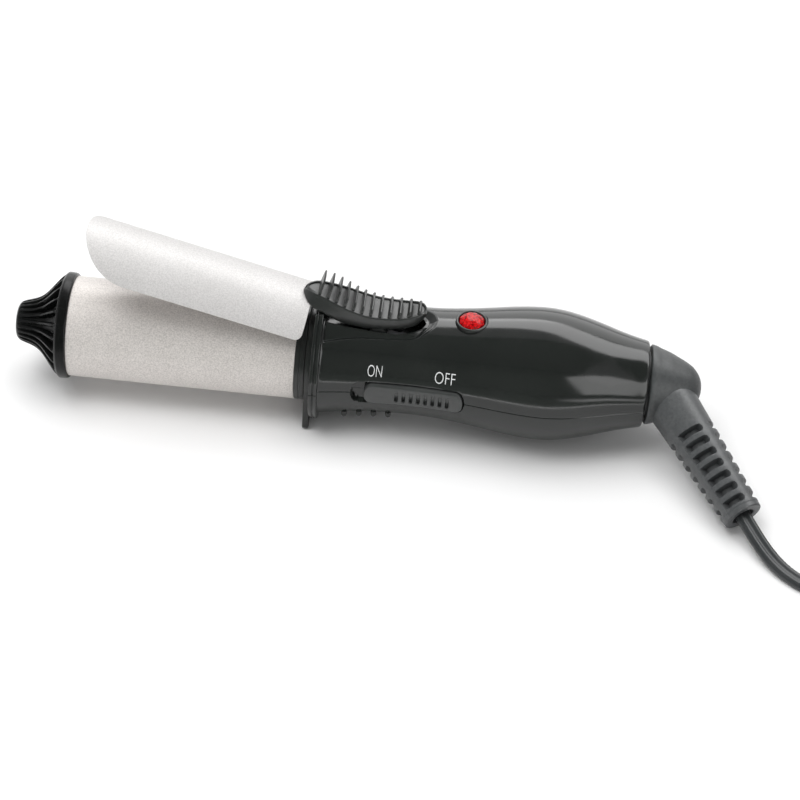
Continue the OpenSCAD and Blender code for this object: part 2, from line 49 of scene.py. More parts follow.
# ------------------------------------------------------------------ camera
def make_camera():
    cam = bpy.data.cameras.new("camera")
    cam.lens = 102.97
    cam.sensor_width = 36.0
    cam.sensor_fit = "HORIZONTAL"
    cam.clip_start, cam.clip_end = 0.02, 20
    ob = bpy.data.objects.new("camera", cam)
    scene.collection.objects.link(ob)
    right = (0.99453256, 0.08443286, 0.06144984)
    up = (-0.10224042, 0.66749017, 0.73756611)
    back = (0.02125765, -0.73981617, 0.67247315)
    m = Matrix.Identity(4)
    for i in range(3):
        m[i][0], m[i][1], m[i][2] = right[i], up[i], back[i]
    m[0][3], m[1][3], m[2][3] = 0.039136, -0.548286, 0.501847
    ob.matrix_world = m
    scene.camera = ob


make_camera()


# ------------------------------------------------------------------ mesh helpers (millimetres until done())
def cr(a, b, c, d, t):
    return 0.5 * (
        (2 * b)
        + (c - a) * t
        + (2 * a - 5 * b + 4 * c - d) * t * t
        + (3 * b - a - 3 * c + d) * t**3
    )


def smooth_pts(p, n):
    p = [np.array(q, float) for q in p]
    out = []
    for i in range(len(p) - 1):
        a, b = p[max(i - 1, 0)], p[i]
        c, d = p[i + 1], p[min(i + 2, len(p) - 1)]
        for k in range(n):
            out.append(cr(a, b, c, d, k / n))
    out.append(p[-1])
    return np.array(out)


def step(e0, e1, x):
    t = np.clip((np.asarray(x, float) - e0) / (e1 - e0), 0, 1)
    return t * t * (3 - 2 * t)


def mesh_obj(name, verts, faces):
    me = bpy.data.meshes.new(name)
    me.from_pydata([tuple(map(float, v)) for v in verts], [], faces)
    me.update()
    ob = bpy.data.objects.new(name, me)
    scene.collection.objects.link(ob)
    bm = bmesh.new()
    bm.from_mesh(me)
    bmesh.ops.remove_doubles(bm, verts=bm.verts, dist=1e-4)
    bmesh.ops.recalc_face_normals(bm, faces=bm.faces)
    bm.to_mesh(me)
    bm.free()
    return ob


def bake_mods(ob):
    dg = bpy.context.evaluated_depsgraph_get()
    me = bpy.data.meshes.new_from_object(ob.evaluated_get(dg))
    ob.modifiers.clear()
    old = ob.data
    ob.data = me
    bpy.data.meshes.remove(old)
    return ob


def boolean(ob, cutter, op="DIFFERENCE", keep=False):
    m = ob.modifiers.new("cut", "BOOLEAN")
    m.operation = op
    m.object = cutter
    m.solver = "EXACT"
    bake_mods(ob)
    if not keep:
        bpy.data.objects.remove(cutter)
    return ob


def bevel(ob, width, segments=3, angle=35, profile=0.5):
    m = ob.modifiers.new("bevel", "BEVEL")
    m.width = width
    m.segments = segments
    m.limit_method = "ANGLE"
    m.angle_limit = math.radians(angle)
    m.profile = profile
    m.use_clamp_overlap = True
    m.harden_normals = False
    return bake_mods(ob)


def join(name, *obs):
    """One object from several closed meshes."""
    bm = bmesh.new()
    for o in obs:
        bm.from_mesh(o.data)
    me = bpy.data.meshes.new(name)
    bm.to_mesh(me)
    bm.free()
    for o in obs:
        bpy.data.objects.remove(o)
    ob = bpy.data.objects.new(name, me)
    scene.collection.objects.link(ob)
    return ob


def done(ob, name, body, replaces=(), mat=None, angle=32, flat=False):
    """Puts a finished millimetre mesh into the frame."""
    ob.name = name
    ob.data.name = name
    ob.data.transform(Matrix.Scale(0.001, 4))
    me = ob.data
    if flat:
        me.shade_flat()
    else:
        me.shade_smooth()
        me.set_sharp_from_angle(angle=math.radians(angle))
    me.materials.clear()
    if mat:
        me.materials.append(mat)
    me.update()
    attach(ob, body)
    if replaces:
        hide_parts(*replaces)
    return ob


def grid_faces(nu, nv, closed_u=False, closed_v=False):
    f = []
    for i in range(nu if closed_u else nu - 1):
        for j in range(nv if closed_v else nv - 1):
            a, b = i * nv + j, ((i + 1) % nu) * nv + j
            c, d = ((i + 1) % nu) * nv + (j + 1) % nv, i * nv + (j + 1) % nv
            f.append((a, b, c, d))
    return f


def lathe(name, prof, n=96, closed=False):
    """Turns [x, r] points round the barrel axis. An end with r 0 is closed to a point; closed joins the profile's ends into a ring."""
    prof = [tuple(p) for p in prof]
    verts, rows = [], []
    for x, r in prof:
        if r < 1e-6:
            rows.append([len(verts)])
            verts.append((x, 0, AZ))
        else:
            rows.append(list(range(len(verts), len(verts) + n)))
            verts += [
                (x, r * math.sin(2 * math.pi * k / n), AZ + r * math.cos(2 * math.pi * k / n))
                for k in range(n)
            ]
    faces = []
    pairs = list(zip(rows[:-1], rows[1:]))
    if closed:
        pairs.append((rows[-1], rows[0]))
    for a, b in pairs:
        if len(a) == 1 and len(b) == 1:
            continue
        for k in range(n):
            k2 = (k + 1) % n
            if len(a) == 1:
                faces.append((a[0], b[k2], b[k]))
            elif len(b) == 1:
                faces.append((a[k], a[k2], b[0]))
            else:
                faces.append((a[k], a[k2], b[k2], b[k]))
    return mesh_obj(name, verts, faces)


def rod(x0, x1, r, n=64):
    return lathe("rod", [(x0, 0), (x0, r), (x1, r), (x1, 0)], n)


def box(x0, x1, y0, y1, z0, z1):
    v = [(x, y, AZ + z) for x in (x0, x1) for y in (y0, y1) for z in (z0, z1)]
    f = [(0, 1, 3, 2), (4, 6, 7, 5), (0, 4, 5, 1), (2, 3, 7, 6), (0, 2, 6, 4), (1, 5, 7, 3)]
    return mesh_obj("box", v, f)


def prism(poly, z0, z1):
    """A prism over an outline in X and Y."""
    n = len(poly)
    v = [(p[0], p[1], AZ + z0) for p in poly] + [(p[0], p[1], AZ + z1) for p in poly]
    f = [tuple(range(n)), tuple(range(2 * n - 1, n - 1, -1))]
    f += [(i, (i + 1) % n, n + (i + 1) % n, n + i) for i in range(n)]
    return mesh_obj("prism", v, f)


def prism_x(poly, x0, x1):
    """A prism along X over an outline in Y and z."""
    n = len(poly)
    v = [(x0, p[0], AZ + p[1]) for p in poly] + [(x1, p[0], AZ + p[1]) for p in poly]
    f = [tuple(range(n)), tuple(range(2 * n - 1, n - 1, -1))]
    f += [(i, (i + 1) % n, n + (i + 1) % n, n + i) for i in range(n)]
    return mesh_obj("prism", v, f)


def turned(name, axis_x, axis_y, prof, n=64, closed=False):
    """Turns [r, z] points round a vertical line; z is from the barrel axis."""
    verts, rows = [], []
    for r, z in prof:
        if r < 1e-6:
            rows.append([len(verts)])
            verts.append((axis_x, axis_y, AZ + z))
        else:
            rows.append(list(range(len(verts), len(verts) + n)))
            verts += [
                (axis_x + r * math.cos(2 * math.pi * k / n), axis_y + r * math.sin(2 * math.pi * k / n), AZ + z)
                for k in range(n)
            ]
    faces = []
    pairs = list(zip(rows[:-1], rows[1:]))
    if closed:
        pairs.append((rows[-1], rows[0]))
    for a, b in pairs:
        for k in range(n):
            k2 = (k + 1) % n
            if len(a) == 1:
                faces.append((a[0], b[k2], b[k]))
            elif len(b) == 1:
                faces.append((a[k], a[k2], b[0]))
            else:
                faces.append((a[k], a[k2], b[k2], b[k]))
    return mesh_obj(name, verts, faces)


PIV = np.array([14.9, 0, AZ + 13.5])
OPEN = math.radians(14.8)


def opened(ob):
    """Turns a mesh drawn closed on the barrel up to where the clamp stands."""
    ob.data.transform(
        Matrix.Translation(Vector(PIV)) @ Matrix.Rotation(OPEN, 4, "Y") @ Matrix.Translation(-Vector(PIV))
    )
    return ob


# ------------------------------------------------------------------ materials
def tree_of(name):
    m = bpy.data.materials.new(name)
    m.use_nodes = True
    nt = m.node_tree
    bsdf = next(n for n in nt.nodes if n.type == "BSDF_PRINCIPLED")
    return m, nt, bsdf


def coords(nt, scale=(1, 1, 1)):
    tc = nt.nodes.new("ShaderNodeTexCoord")
    mp = nt.nodes.new("ShaderNodeMapping")
    mp.inputs["Scale"].default_value = scale
    nt.links.new(tc.outputs["Object"], mp.inputs["Vector"])
    return mp.outputs["Vector"]


def noise(nt, vec, scale, detail=3.0, rough=0.5):
    n = nt.nodes.new("ShaderNodeTexNoise")
    n.inputs["Scale"].default_value = scale
    n.inputs["Detail"].default_value = detail
    n.inputs["Roughness"].default_value = rough
    nt.links.new(vec, n.inputs["Vector"])
    return n.outputs["Fac"]


def ramp(nt, fac, stops):
    r = nt.nodes.new("ShaderNodeValToRGB")
    els = r.color_ramp.elements
    while len(els) < len(stops):
        els.new(0.5)
    for el, (p, c) in zip(els, stops):
        el.position = p
        el.color = (c, c, c, 1) if isinstance(c, (int, float)) else (*c, 1)
    nt.links.new(fac, r.inputs["Fac"])
    return r.outputs["Color"]


def map_range(nt, fac, a, b, c, d):
    r = nt.nodes.new("ShaderNodeMapRange")
    for k, v in zip(("From Min", "From Max", "To Min", "To Max"), (a, b, c, d)):
        r.inputs[k].default_value = v
    nt.links.new(fac, r.inputs["Value"])
    return r.outputs["Result"]


def add_bump(nt, bsdf, heights, coat=False):
    """heights: [(socket, strength, distance in metres)], chained."""
    last = None
    for sock, strength, dist in heights:
        b = nt.nodes.new("ShaderNodeBump")
        b.inputs["Strength"].default_value = strength
        b.inputs["Distance"].default_value = dist
        nt.links.new(sock, b.inputs["Height"])
        if last is not None:
            nt.links.new(last, b.inputs["Normal"])
        last = b.outputs["Normal"]
    nt.links.new(last, bsdf.inputs["Normal"])
    if coat:
        nt.links.new(last, bsdf.inputs["Coat Normal"])


def plastic(name, c0, c1, rough, spec=0.5, fine=2600, fine_d=0.00001, fine_s=0.3, wave=90, wave_d=0.00004, wave_s=0.15, coat=0.0, ior=1.5, blotch=60, stretch=(1, 1, 1)):
    """Moulded plastic: two close tones in soft blotches, a roughness that wanders, a fine grain and long shallow waves."""
    m, nt, b = tree_of(name)
    v = coords(nt, stretch)
    big = noise(nt, v, blotch, 4, 0.6)
    col = ramp(nt, big, [(0.3, c0), (0.7, c1)])
    nt.links.new(col, b.inputs["Base Color"])
    nt.links.new(map_range(nt, noise(nt, v, blotch * 2.7, 5, 0.65), 0.25, 0.75, rough[0], rough[1]), b.inputs["Roughness"])
    b.inputs["IOR"].default_value = ior
    b.inputs["Specular IOR Level"].default_value = spec
    if coat:
        b.inputs["Coat Weight"].default_value = coat
        b.inputs["Coat Roughness"].default_value = 0.06
    add_bump(nt, b, [(noise(nt, v, wave, 2, 0.4), wave_s, wave_d), (noise(nt, v, fine, 2, 0.6), fine_s, fine_d)])
    return m


def satin_metal(name, c0, c1, rough, sparkle=0.35, metallic=0.3, spec=0.3):
    """Satin, pearl-like metal coat: fine bright and dark grains, a little cloudiness and a micro bump."""
    m, nt, b = tree_of(name)
    v = coords(nt)
    cloud = noise(nt, v, 38, 4, 0.6)
    grain = noise(nt, v, 2300, 2, 0.7)
    mix = nt.nodes.new("ShaderNodeMix")
    mix.data_type = "RGBA"
    mix.blend_type = "MIX"
    mix.inputs["Factor"].default_value = sparkle
    nt.links.new(ramp(nt, cloud, [(0.3, c0), (0.7, c1)]), mix.inputs[6])
    dark = tuple(x * 0.62 for x in c0)
    light = tuple(min(1.0, x * 1.28) for x in c1)
    nt.links.new(ramp(nt, grain, [(0.36, dark), (0.5, tuple((a + q) / 2 for a, q in zip(c0, c1))), (0.64, light)]), mix.inputs[7])
    nt.links.new(mix.outputs[2], b.inputs["Base Color"])
    b.inputs["Metallic"].default_value = metallic
    b.inputs["Specular IOR Level"].default_value = spec
    nt.links.new(map_range(nt, noise(nt, v, 900, 3, 0.6), 0.3, 0.7, rough[0], rough[1]), b.inputs["Roughness"])
    add_bump(nt, b, [(noise(nt, v, 1500, 3, 0.7), 0.16, 0.00002), (cloud, 0.05, 0.00005)])
    return m


def metal(name, c0, c1, rough, stretch=(1, 1, 1), scale=700):
    m, nt, b = tree_of(name)
    v = coords(nt, stretch)
    f = noise(nt, v, scale, 4, 0.6)
    nt.links.new(ramp(nt, f, [(0.3, c0), (0.7, c1)]), b.inputs["Base Color"])
    b.inputs["Metallic"].default_value = 1.0
    nt.links.new(map_range(nt, f, 0.3, 0.7, rough[0], rough[1]), b.inputs["Roughness"])
    add_bump(nt, b, [(f, 0.12, 0.00002)])
    return m


MAT = {}
MAT["handle_plastic"] = plastic("handle_plastic", (0.0085, 0.0100, 0.0092), (0.0125, 0.0142, 0.0132), (0.09, 0.17), fine=1500, fine_d=0.000004, fine_s=0.10, wave=48, wave_d=0.00022, wave_s=0.30, ior=1.52)
MAT["tip_black"] = plastic("tip_black", (0.0035, 0.0037, 0.0037), (0.0058, 0.0061, 0.0061), (0.20, 0.30), spec=0.18, fine=2400, fine_d=0.000008, fine_s=0.25)
MAT["black_trim"] = plastic("black_trim", (0.0095, 0.0105, 0.0100), (0.0145, 0.0160, 0.0150), (0.26, 0.36), fine=2400, fine_d=0.000008, fine_s=0.25)
MAT["barrel_metal"] = satin_metal("barrel_metal", (0.61, 0.575, 0.548), (0.70, 0.665, 0.637), (0.36, 0.44), sparkle=0.40, metallic=0.14)
MAT["clamp_metal"] = satin_metal("clamp_metal", (0.555, 0.542, 0.533), (0.615, 0.603, 0.596), (0.38, 0.46), sparkle=0.3, metallic=0.10)
MAT["lever_plastic"] = plastic("lever_plastic", (0.015, 0.0165, 0.016), (0.023, 0.0245, 0.0235), (0.28, 0.40), spec=0.65, fine=3200, fine_d=0.000016, fine_s=0.5, wave=120)
MAT["slider_plastic"] = plastic("slider_plastic", (0.026, 0.028, 0.0275), (0.040, 0.043, 0.042), (0.34, 0.46), spec=0.7, fine=3000, fine_d=0.000016, fine_s=0.5, wave=150)
MAT["elbow_plastic"] = plastic("elbow_plastic", (0.030, 0.033, 0.034), (0.048, 0.052, 0.053), (0.38, 0.52), spec=0.55, fine=1500, fine_d=0.00004, fine_s=0.8, wave=140, blotch=900)
MAT["boot_rubber"] = plastic("boot_rubber", (0.050, 0.053, 0.055), (0.074, 0.078, 0.080), (0.34, 0.48), spec=0.6, fine=1500, fine_d=0.00004, fine_s=0.8, wave=160, blotch=900)
MAT["cord_pvc"] = plastic("cord_pvc", (0.020, 0.022, 0.0235), (0.031, 0.034, 0.0355), (0.26, 0.38), fine=1900, fine_d=0.00001, fine_s=0.3, wave=70, wave_d=0.00012, wave_s=0.3)
MAT["plug_pvc"] = plastic("plug_pvc", (0.026, 0.029, 0.031), (0.038, 0.041, 0.043), (0.36, 0.5), fine=2200, fine_d=0.00002, fine_s=0.5, wave=110)
MAT["tie_plastic"] = plastic("tie_plastic", (0.010, 0.010, 0.011), (0.018, 0.018, 0.019), (0.3, 0.45), fine=1800, stretch=(1, 1, 3))
MAT["wire_sleeve"] = plastic("wire_sleeve", (0.42, 0.05, 0.03), (0.52, 0.08, 0.05), (0.45, 0.6), fine=1600)
MAT["white_plastic"] = plastic("white_plastic", (0.62, 0.61, 0.56), (0.72, 0.71, 0.67), (0.4, 0.55), fine=1800)
MAT["heater_ceramic"] = plastic("heater_ceramic", (0.60, 0.53, 0.38), (0.72, 0.65, 0.49), (0.55, 0.75), fine=1200, fine_s=0.6)
MAT["screw_steel"] = metal("screw_steel", (0.42, 0.42, 0.43), (0.56, 0.56, 0.57), (0.28, 0.42))
# near-black steel for the tongue and the pieces under the lever: painted shade, standing in for the shadow there
MAT["shade_painted_steel"] = metal("shade_painted_steel", (0.030, 0.031, 0.032), (0.055, 0.056, 0.058), (0.42, 0.58), stretch=(1, 6, 1))
MAT["bracket_steel"] = metal("bracket_steel", (0.46, 0.46, 0.47), (0.58, 0.58, 0.59), (0.35, 0.5), stretch=(1, 8, 1))
MAT["spring_steel"] = metal("spring_steel", (0.33, 0.33, 0.35), (0.45, 0.45, 0.47), (0.25, 0.4), scale=1400)
MAT["heater_aluminium"] = metal("heater_aluminium", (0.52, 0.52, 0.54), (0.64, 0.64, 0.66), (0.35, 0.5), stretch=(0.2, 1, 1))
MAT["blade_brass"] = metal("blade_brass", (0.62, 0.50, 0.27), (0.74, 0.62, 0.38), (0.22, 0.36), stretch=(6, 0.6, 6))
MAT["contact_brass"] = metal("contact_brass", (0.60, 0.46, 0.22), (0.72, 0.57, 0.32), (0.3, 0.45))


def red_glass():
    m, nt, b = tree_of("red_lens")
    v = coords(nt)
    f = noise(nt, v, 1500, 3, 0.7)
    nt.links.new(ramp(nt, f, [(0.40, (0.10, 0.001, 0.002)), (0.52, (0.55, 0.004, 0.006)), (0.75, (0.85, 0.012, 0.014))]), b.inputs["Base Color"])
    nt.links.new(map_range(nt, f, 0.3, 0.7, 0.10, 0.20), b.inputs["Roughness"])
    b.inputs["IOR"].default_value = 1.45
    b.inputs["Specular IOR Level"].default_value = 0.22
    add_bump(nt, b, [(noise(nt, v, 700, 2, 0.5), 0.2, 0.00003)])
    return m


def lamp_glass():
    m, nt, b = tree_of("lamp_glass")
    v = coords(nt)
    f = noise(nt, v, 500, 3, 0.6)
    nt.links.new(ramp(nt, f, [(0.3, (0.75, 0.38, 0.18)), (0.7, (0.95, 0.6, 0.35))]), b.inputs["Base Color"])
    nt.links.new(map_range(nt, f, 0.3, 0.7, 0.05, 0.12), b.inputs["Roughness"])
    return m


def ink():
    m, nt, b = tree_of("printed_ink")
    v = coords(nt)
    f = noise(nt, v, 2500, 3, 0.6)
    nt.links.new(ramp(nt, f, [(0.25, (0.62, 0.64, 0.64)), (0.6, (0.86, 0.87, 0.87))]), b.inputs["Base Color"])
    nt.links.new(map_range(nt, f, 0.3, 0.7, 0.4, 0.55), b.inputs["Roughness"])
    return m


MAT["red_lens"] = red_glass()
MAT["lamp_glass"] = lamp_glass()
MAT["ink"] = ink()

slot_of = {s["node"]: s["material_slot"] for s in frame["record"]["subparts"]}
# painted shade: where these pieces show through the gaps they are given near-black steel and the tip's black plastic,
# standing in for the shadow there
look_of = {"spring_anchor": "shade_painted_steel", "clamp_spring": "shade_painted_steel", "hinge_pin": "shade_painted_steel", "swivel_stem": "tip_black"}
for n, o in NODES.items():
    o.data.materials.clear()
    o.data.materials.append(MAT[look_of.get(n, slot_of[n])])
    o.data.shade_smooth()
    o.data.set_sharp_from_angle(angle=math.radians(30))


# ------------------------------------------------------------------ cord, first of all
LEAD = [(132.6, -40.0, 7.3), (136.0, -45.2, 5.3), (139.6, -50.4, 3.5), (143.6, -55.2, 2.1), (148.6, -59.8, 1.5), (154.5, -63.2, 1.4), (162, -65.6, 1.4), (172, -66.9, 1.4), (184, -67.0, 1.4), (200, -67.0, 1.4)]
COIL = (203.0, -25.0)
TAIL = [(245.2, -26, 4.3), (245.6, -20, 4.4), (245.9, -13.5, 5.2), (246.1, -8, 6.4), (246.2, -3, 7)]
CORD_W, CORD_T = 5.4, 2.8


def cord_route():
    lead = smooth_pts(LEAD, 6)
    pts = [tuple(p) for p in lead]
    # turns: inwards on the table, up at the middle, outwards on top
    n1, n2, n3 = 3.95, 0.35, 3.93
    total = n1 + n2 + n3
    r0, r1, r2 = 42.0, 20.75, 42.2
    steps = int(total * 110)
    for k in range(2, steps - 1):
        t = total * k / steps
        if t < n1:
            r, z = r0 + (r1 - r0) * t / n1, 1.4
        elif t < n1 + n2:
            r, z = r1, 1.4 + 2.88 * float(step(0, 1, (t - n1) / n2))
        else:
            r, z = r1 + (r2 - r1) * (t - n1 - n2) / n3, 4.28
        a = math.radians(-90 + 360 * t)
        pts.append((COIL[0] + r * math.cos(a), COIL[1] + r * math.sin(a), z))
    last = pts[-1]
    ang = math.degrees(math.atan2(last[1] - COIL[1], last[0] - COIL[0]))
    tail = smooth_pts([TAIL[0]] + TAIL[1:], 6)
    pts += [tuple(p) for p in tail if p[1] > last[1] + 0.6]
    p = np.array(pts)
    # even spacing along the route, lightly smoothed at the joins
    seg = np.linalg.norm(np.diff(p, axis=0), axis=1)
    s = np.concatenate([[0], np.cumsum(seg)])
    n = int(s[-1] / 1.45)
    u = np.linspace(0, s[-1], n)
    q = np.stack([np.interp(u, s, p[:, i]) for i in range(3)], 1)
    for _ in range(3):
        q[1:-1] = 0.25 * q[:-2] + 0.5 * q[1:-1] + 0.25 * q[2:]
    q[:, 2] = np.maximum(q[:, 2], 1.4)
    return q, ang


def twin_section():
    """Outline of the flat twin cord: two round cores joined by a web, in width and height."""
    out = []
    r = CORD_T / 2
    cx = CORD_W / 2 - r
    a0 = math.acos(min(1.0, (cx - 0.12) / r)) if cx < r else 0.4
    a0 = math.radians(28)
    n = 9
    for k in range(n):
        a = math.pi / 2 + a0 * 0 - (math.pi) * k / (n - 1)
        out.append((cx + r * math.cos(a), r * math.sin(a)))
    # valley under and over the web
    out.append((cx * 0.45, -r * 0.86))
    out.append((0.0, -r * 0.62))
    out.append((-cx * 0.45, -r * 0.86))
    for k in range(n):
        a = -math.pi / 2 - math.pi * k / (n - 1)
        out.append((-cx + r * math.cos(a), r * math.sin(a)))
    out.append((-cx * 0.45, r * 0.86))
    out.append((0.0, r * 0.62))
    out.append((cx * 0.45, r * 0.86))
    return out


def make_cord():
    q, ang = cord_route()
    sec = twin_section()
    d = np.gradient(q, axis=0)
    d /= np.linalg.norm(d, axis=1)[:, None]
    up = np.array([0, 0, 1.0])
    s = np.cross(d, up)
    s /= np.linalg.norm(s, axis=1)[:, None]
    u = np.cross(s, d)
    verts = []
    for i in range(len(q)):
        for w, h in sec:
            verts.append(q[i] + s[i] * w + u[i] * h)
    m = len(sec)
    faces = grid_faces(len(q), m, closed_v=True)
    faces.append(tuple(range(m)))
    faces.append(tuple((len(q) - 1) * m + k for k in range(m - 1, -1, -1)))
    ob = mesh_obj("flat_cord", verts, faces)
    length = float(np.sum(np.linalg.norm(np.diff(q, axis=0), axis=1)))
    print(f"cord length {length:.1f} mm, last turn ends at {ang:.1f} deg, rings {len(q)}")
    done(ob, "flat_cord", "swivel", ("cord_lead", "cord_coil", "cord_tail"), MAT["cord_pvc"], angle=60)
    return ob, q, length


cord_ob, cord_q, cord_len = make_cord()


# ------------------------------------------------------------------ cord tie, plug and blades
def make_tie():
    """A flat strap bent round the coil, with its ends tucked under the outer turns."""
    path = [(17.75, 0.35), (17.75, 3.2), (17.9, 5.3), (18.9, 6.25), (21, 6.35), (31, 6.3), (42, 6.35), (44.1, 6.25), (45.15, 5.3), (45.3, 3.2), (45.3, 0.35)]
    p = smooth_pts(path, 5)
    d = np.gradient(p, axis=0)
    d /= np.linalg.norm(d, axis=1)[:, None]
    nrm = np.stack([-d[:, 1], d[:, 0]], 1)
    hw, ht = 2.5, 0.4
    sec = [(hw - 0.25, ht), (hw - 0.06, ht - 0.08), (hw, 0), (hw - 0.06, -ht + 0.08), (hw - 0.25, -ht), (-hw + 0.25, -ht), (-hw + 0.06, -ht + 0.08), (-hw, 0), (-hw + 0.06, ht - 0.08), (-hw + 0.25, ht), (-1.5, ht), (-1.3, ht - 0.12), (-1.1, ht), (1.1, ht), (1.3, ht - 0.12), (1.5, ht)]
    sec = sec[:10] + sec[10:]
    a = math.radians(118)
    ca, sa = math.cos(a), math.sin(a)
    verts = []
    for (r, z), (nr, nz) in zip(p, nrm):
        for w, h in sec:
            rr, zz = r + nr * h, z + nz * h
            verts.append((COIL[0] + rr * ca - w * sa, COIL[1] + rr * sa + w * ca, max(zz, 0.02)))
    m = len(sec)
    faces = grid_faces(len(p), m, closed_v=True)
    faces.append(tuple(range(m)))
    faces.append(tuple((len(p) - 1) * m + k for k in range(m - 1, -1, -1)))
    return done(mesh_obj("tie", verts, faces), "coil_tie", "swivel", ("cord_tie",), MAT["tie_plastic"], angle=50)


tie_ob = make_tie()

PLUG = (246.2, -3.0, 7.0)


def ring_sections(sections, n=72, axis="y"):
    """Closed body through superellipse rings: (position, half width, half height, exponent, z shift)."""
    verts = []
    for pos, hw, hh, ex, dz in sections:
        for k in range(n):
            a = 2 * math.pi * k / n
            c, s = math.cos(a), math.sin(a)
            w = hw * math.copysign(abs(c) ** (2 / ex), c)
            h = hh * math.copysign(abs(s) ** (2 / ex), s)
            verts.append((PLUG[0] + w, PLUG[1] + pos, PLUG[2] + h + dz))
    m = len(sections)
    faces = grid_faces(m, n, closed_v=True)
    faces.append(tuple(range(n)))
    faces.append(tuple((m - 1) * n + k for k in range(n - 1, -1, -1)))
    return mesh_obj("body", verts, faces)


def make_plug():
    sec = [(0.0, 3.0, 2.9, 2.2, 0), (0.25, 3.35, 3.25, 2.2, 0)]
    # ribbed strain relief
    t = 0.6
    for i in range(4):
        w0 = 3.4 + 0.42 * i
        for dx, dw in ((0.0, 0), (0.9, 0), (1.05, -0.55), (1.55, -0.55), (1.7, 0.05)):
            sec.append((t + dx, w0 + dw, w0 - 0.1 + dw, 2.3, 0))
        t += 1.95
    sec += [(8.6, 6.2, 5.3, 2.6, 0), (9.2, 7.6, 5.8, 3, 0), (10.2, 8.6, 6.1, 3.4, 0), (11.2, 9.8, 6.5, 4, 0), (12.2, 11.2, 6.85, 4.6, 0), (13.2, 11.95, 6.98, 5, 0), (14.2, 12.15, 7.0, 5, 0)]
    # finger grips across the sides
    t = 15.2
    for i in range(4):
        for dx, dw in ((0.0, 0), (0.35, -0.45), (0.95, -0.45), (1.3, 0)):
            sec.append((t + dx, 12.2 + dw, 7.0, 5, 0))
        t += 2.1
    sec += [(24.5, 12.15, 7.0, 5, 0), (27.2, 12.0, 6.95, 5, 0), (27.75, 11.8, 6.75, 5, 0), (28.0, 11.3, 6.3, 5, 0)]
    ob = ring_sections(sec, 96)
    return done(ob, "mains_plug", "swivel", ("plug_body",), MAT["plug_pvc"], angle=42)


def make_blades():
    obs = []
    for s in (-1, 1):
        x0 = PLUG[0] + s * 6.35
        n = 12
        poly = [(25.0, -3.17), (25.0, 3.17)]
        for k in range(n + 1):
            a = math.pi / 2 - math.pi / 2 * k / n
            poly.append((PLUG[1] + 28 + 17 - 1.6 + 1.6 * math.cos(a) - 0.0, 3.17 - 1.6 + 1.6 * math.sin(a)))
        for k in range(n + 1):
            a = -math.pi / 2 * k / n
            poly.append((PLUG[1] + 28 + 17 - 1.6 + 1.6 * math.cos(a), -3.17 + 1.6 + 1.6 * math.sin(a)))
        m = len(poly)
        v = [(x0 - 0.76, y, PLUG[2] + z) for y, z in poly] + [(x0 + 0.76, y, PLUG[2] + z) for y, z in poly]
        f = [tuple(range(m)), tuple(range(2 * m - 1, m - 1, -1))] + [(i, (i + 1) % m, m + (i + 1) % m, m + i) for i in range(m)]
        b = mesh_obj("blade", v, f)
        hole = []
        hn = 32
        for xx in (x0 - 3, x0 + 3):
            hole += [(xx, PLUG[1] + 28 + 11.5 + 1.6 * math.cos(2 * math.pi * k / hn), PLUG[2] + 1.6 * math.sin(2 * math.pi * k / hn)) for k in range(hn)]
        hf = [tuple(range(hn)), tuple(range(2 * hn - 1, hn - 1, -1))] + [(i, (i + 1) % hn, hn + (i + 1) % hn, hn + i) for i in range(hn)]
        boolean(b, mesh_obj("hole", hole, hf))
        bevel(b, 0.22, 2, 40)
        obs.append(b)
    return done(join("blades", *obs), "plug_blade_pair", "swivel", ("plug_blades",), MAT["blade_brass"])


plug_ob = make_plug()
blades_ob = make_blades()

# ------------------------------------------------------------------ handle shells
HANDLE = [(-2.2, 19.6), (0.5, 19.2), (4, 18.65), (8, 18.15), (13, 17.65), (18, 17.38), (23, 17.25), (28.5, 17.28), (33.5, 17.45), (38.5, 17.85), (43.5, 18.42), (48.6, 19.1), (53.7, 19.85), (58.8, 20.52), (63.5, 20.95), (67.5, 21.1), (71.5, 20.9), (75.6, 20.3), (80.5, 19.2), (85.6, 17.75), (91, 16.1), (95.8, 14.8), (99.6, 13.95)]
HS = smooth_pts(HANDLE, 8)


def R(x):
    return np.interp(x, HS[:, 0], HS[:, 1])


WELL = smooth_pts([(-8, 13.3), (-2.5, 13.1), (3.6, 11.2), (9.7, 9.7), (16, 8.95), (25.2, 8.1), (29.4, 6), (32.2, 3.2), (33.2, 0)], 6)
WELL_LOOP = np.concatenate([WELL, np.stack([WELL[::-1, 0], -WELL[::-1, 1]], 1)[1:]])
SLOT = [(-9, 6.1), (20, 6.1), (23, 5.6), (26, 4.4), (28.6, 2.3), (29.7, 0)]
SLOT_S = [tuple(p) for p in smooth_pts(SLOT[1:], 4)]
SLOT_LOOP = [SLOT[0]] + SLOT_S + [(x, -y) for x, y in SLOT_S[-2::-1]] + [(-9, -6.1)]


def inside_distance(px, py, loop):
    """Signed distance to a closed outline, positive inside."""
    loop = np.asarray(loop, float)
    a, b = loop, np.roll(loop, -1, axis=0)
    best = np.full(px.shape, 1e9)
    inside = np.zeros(px.shape, bool)
    for (ax, ay), (bx, by) in zip(a, b):
        dx, dy = bx - ax, by - ay
        ll = dx * dx + dy * dy
        if ll < 1e-12:
            continue
        t = np.clip(((px - ax) * dx + (py - ay) * dy) / ll, 0, 1)
        best = np.minimum(best, np.hypot(px - ax - t * dx, py - ay - t * dy))
        hit = (ay > py) != (by > py)
        with np.errstate(divide="ignore", invalid="ignore"):
            cross = ax + (py - ay) * dx / (dy if abs(dy) > 1e-12 else 1e-12)
        inside ^= hit & (px < cross)
    return np.where(inside, best, -best)


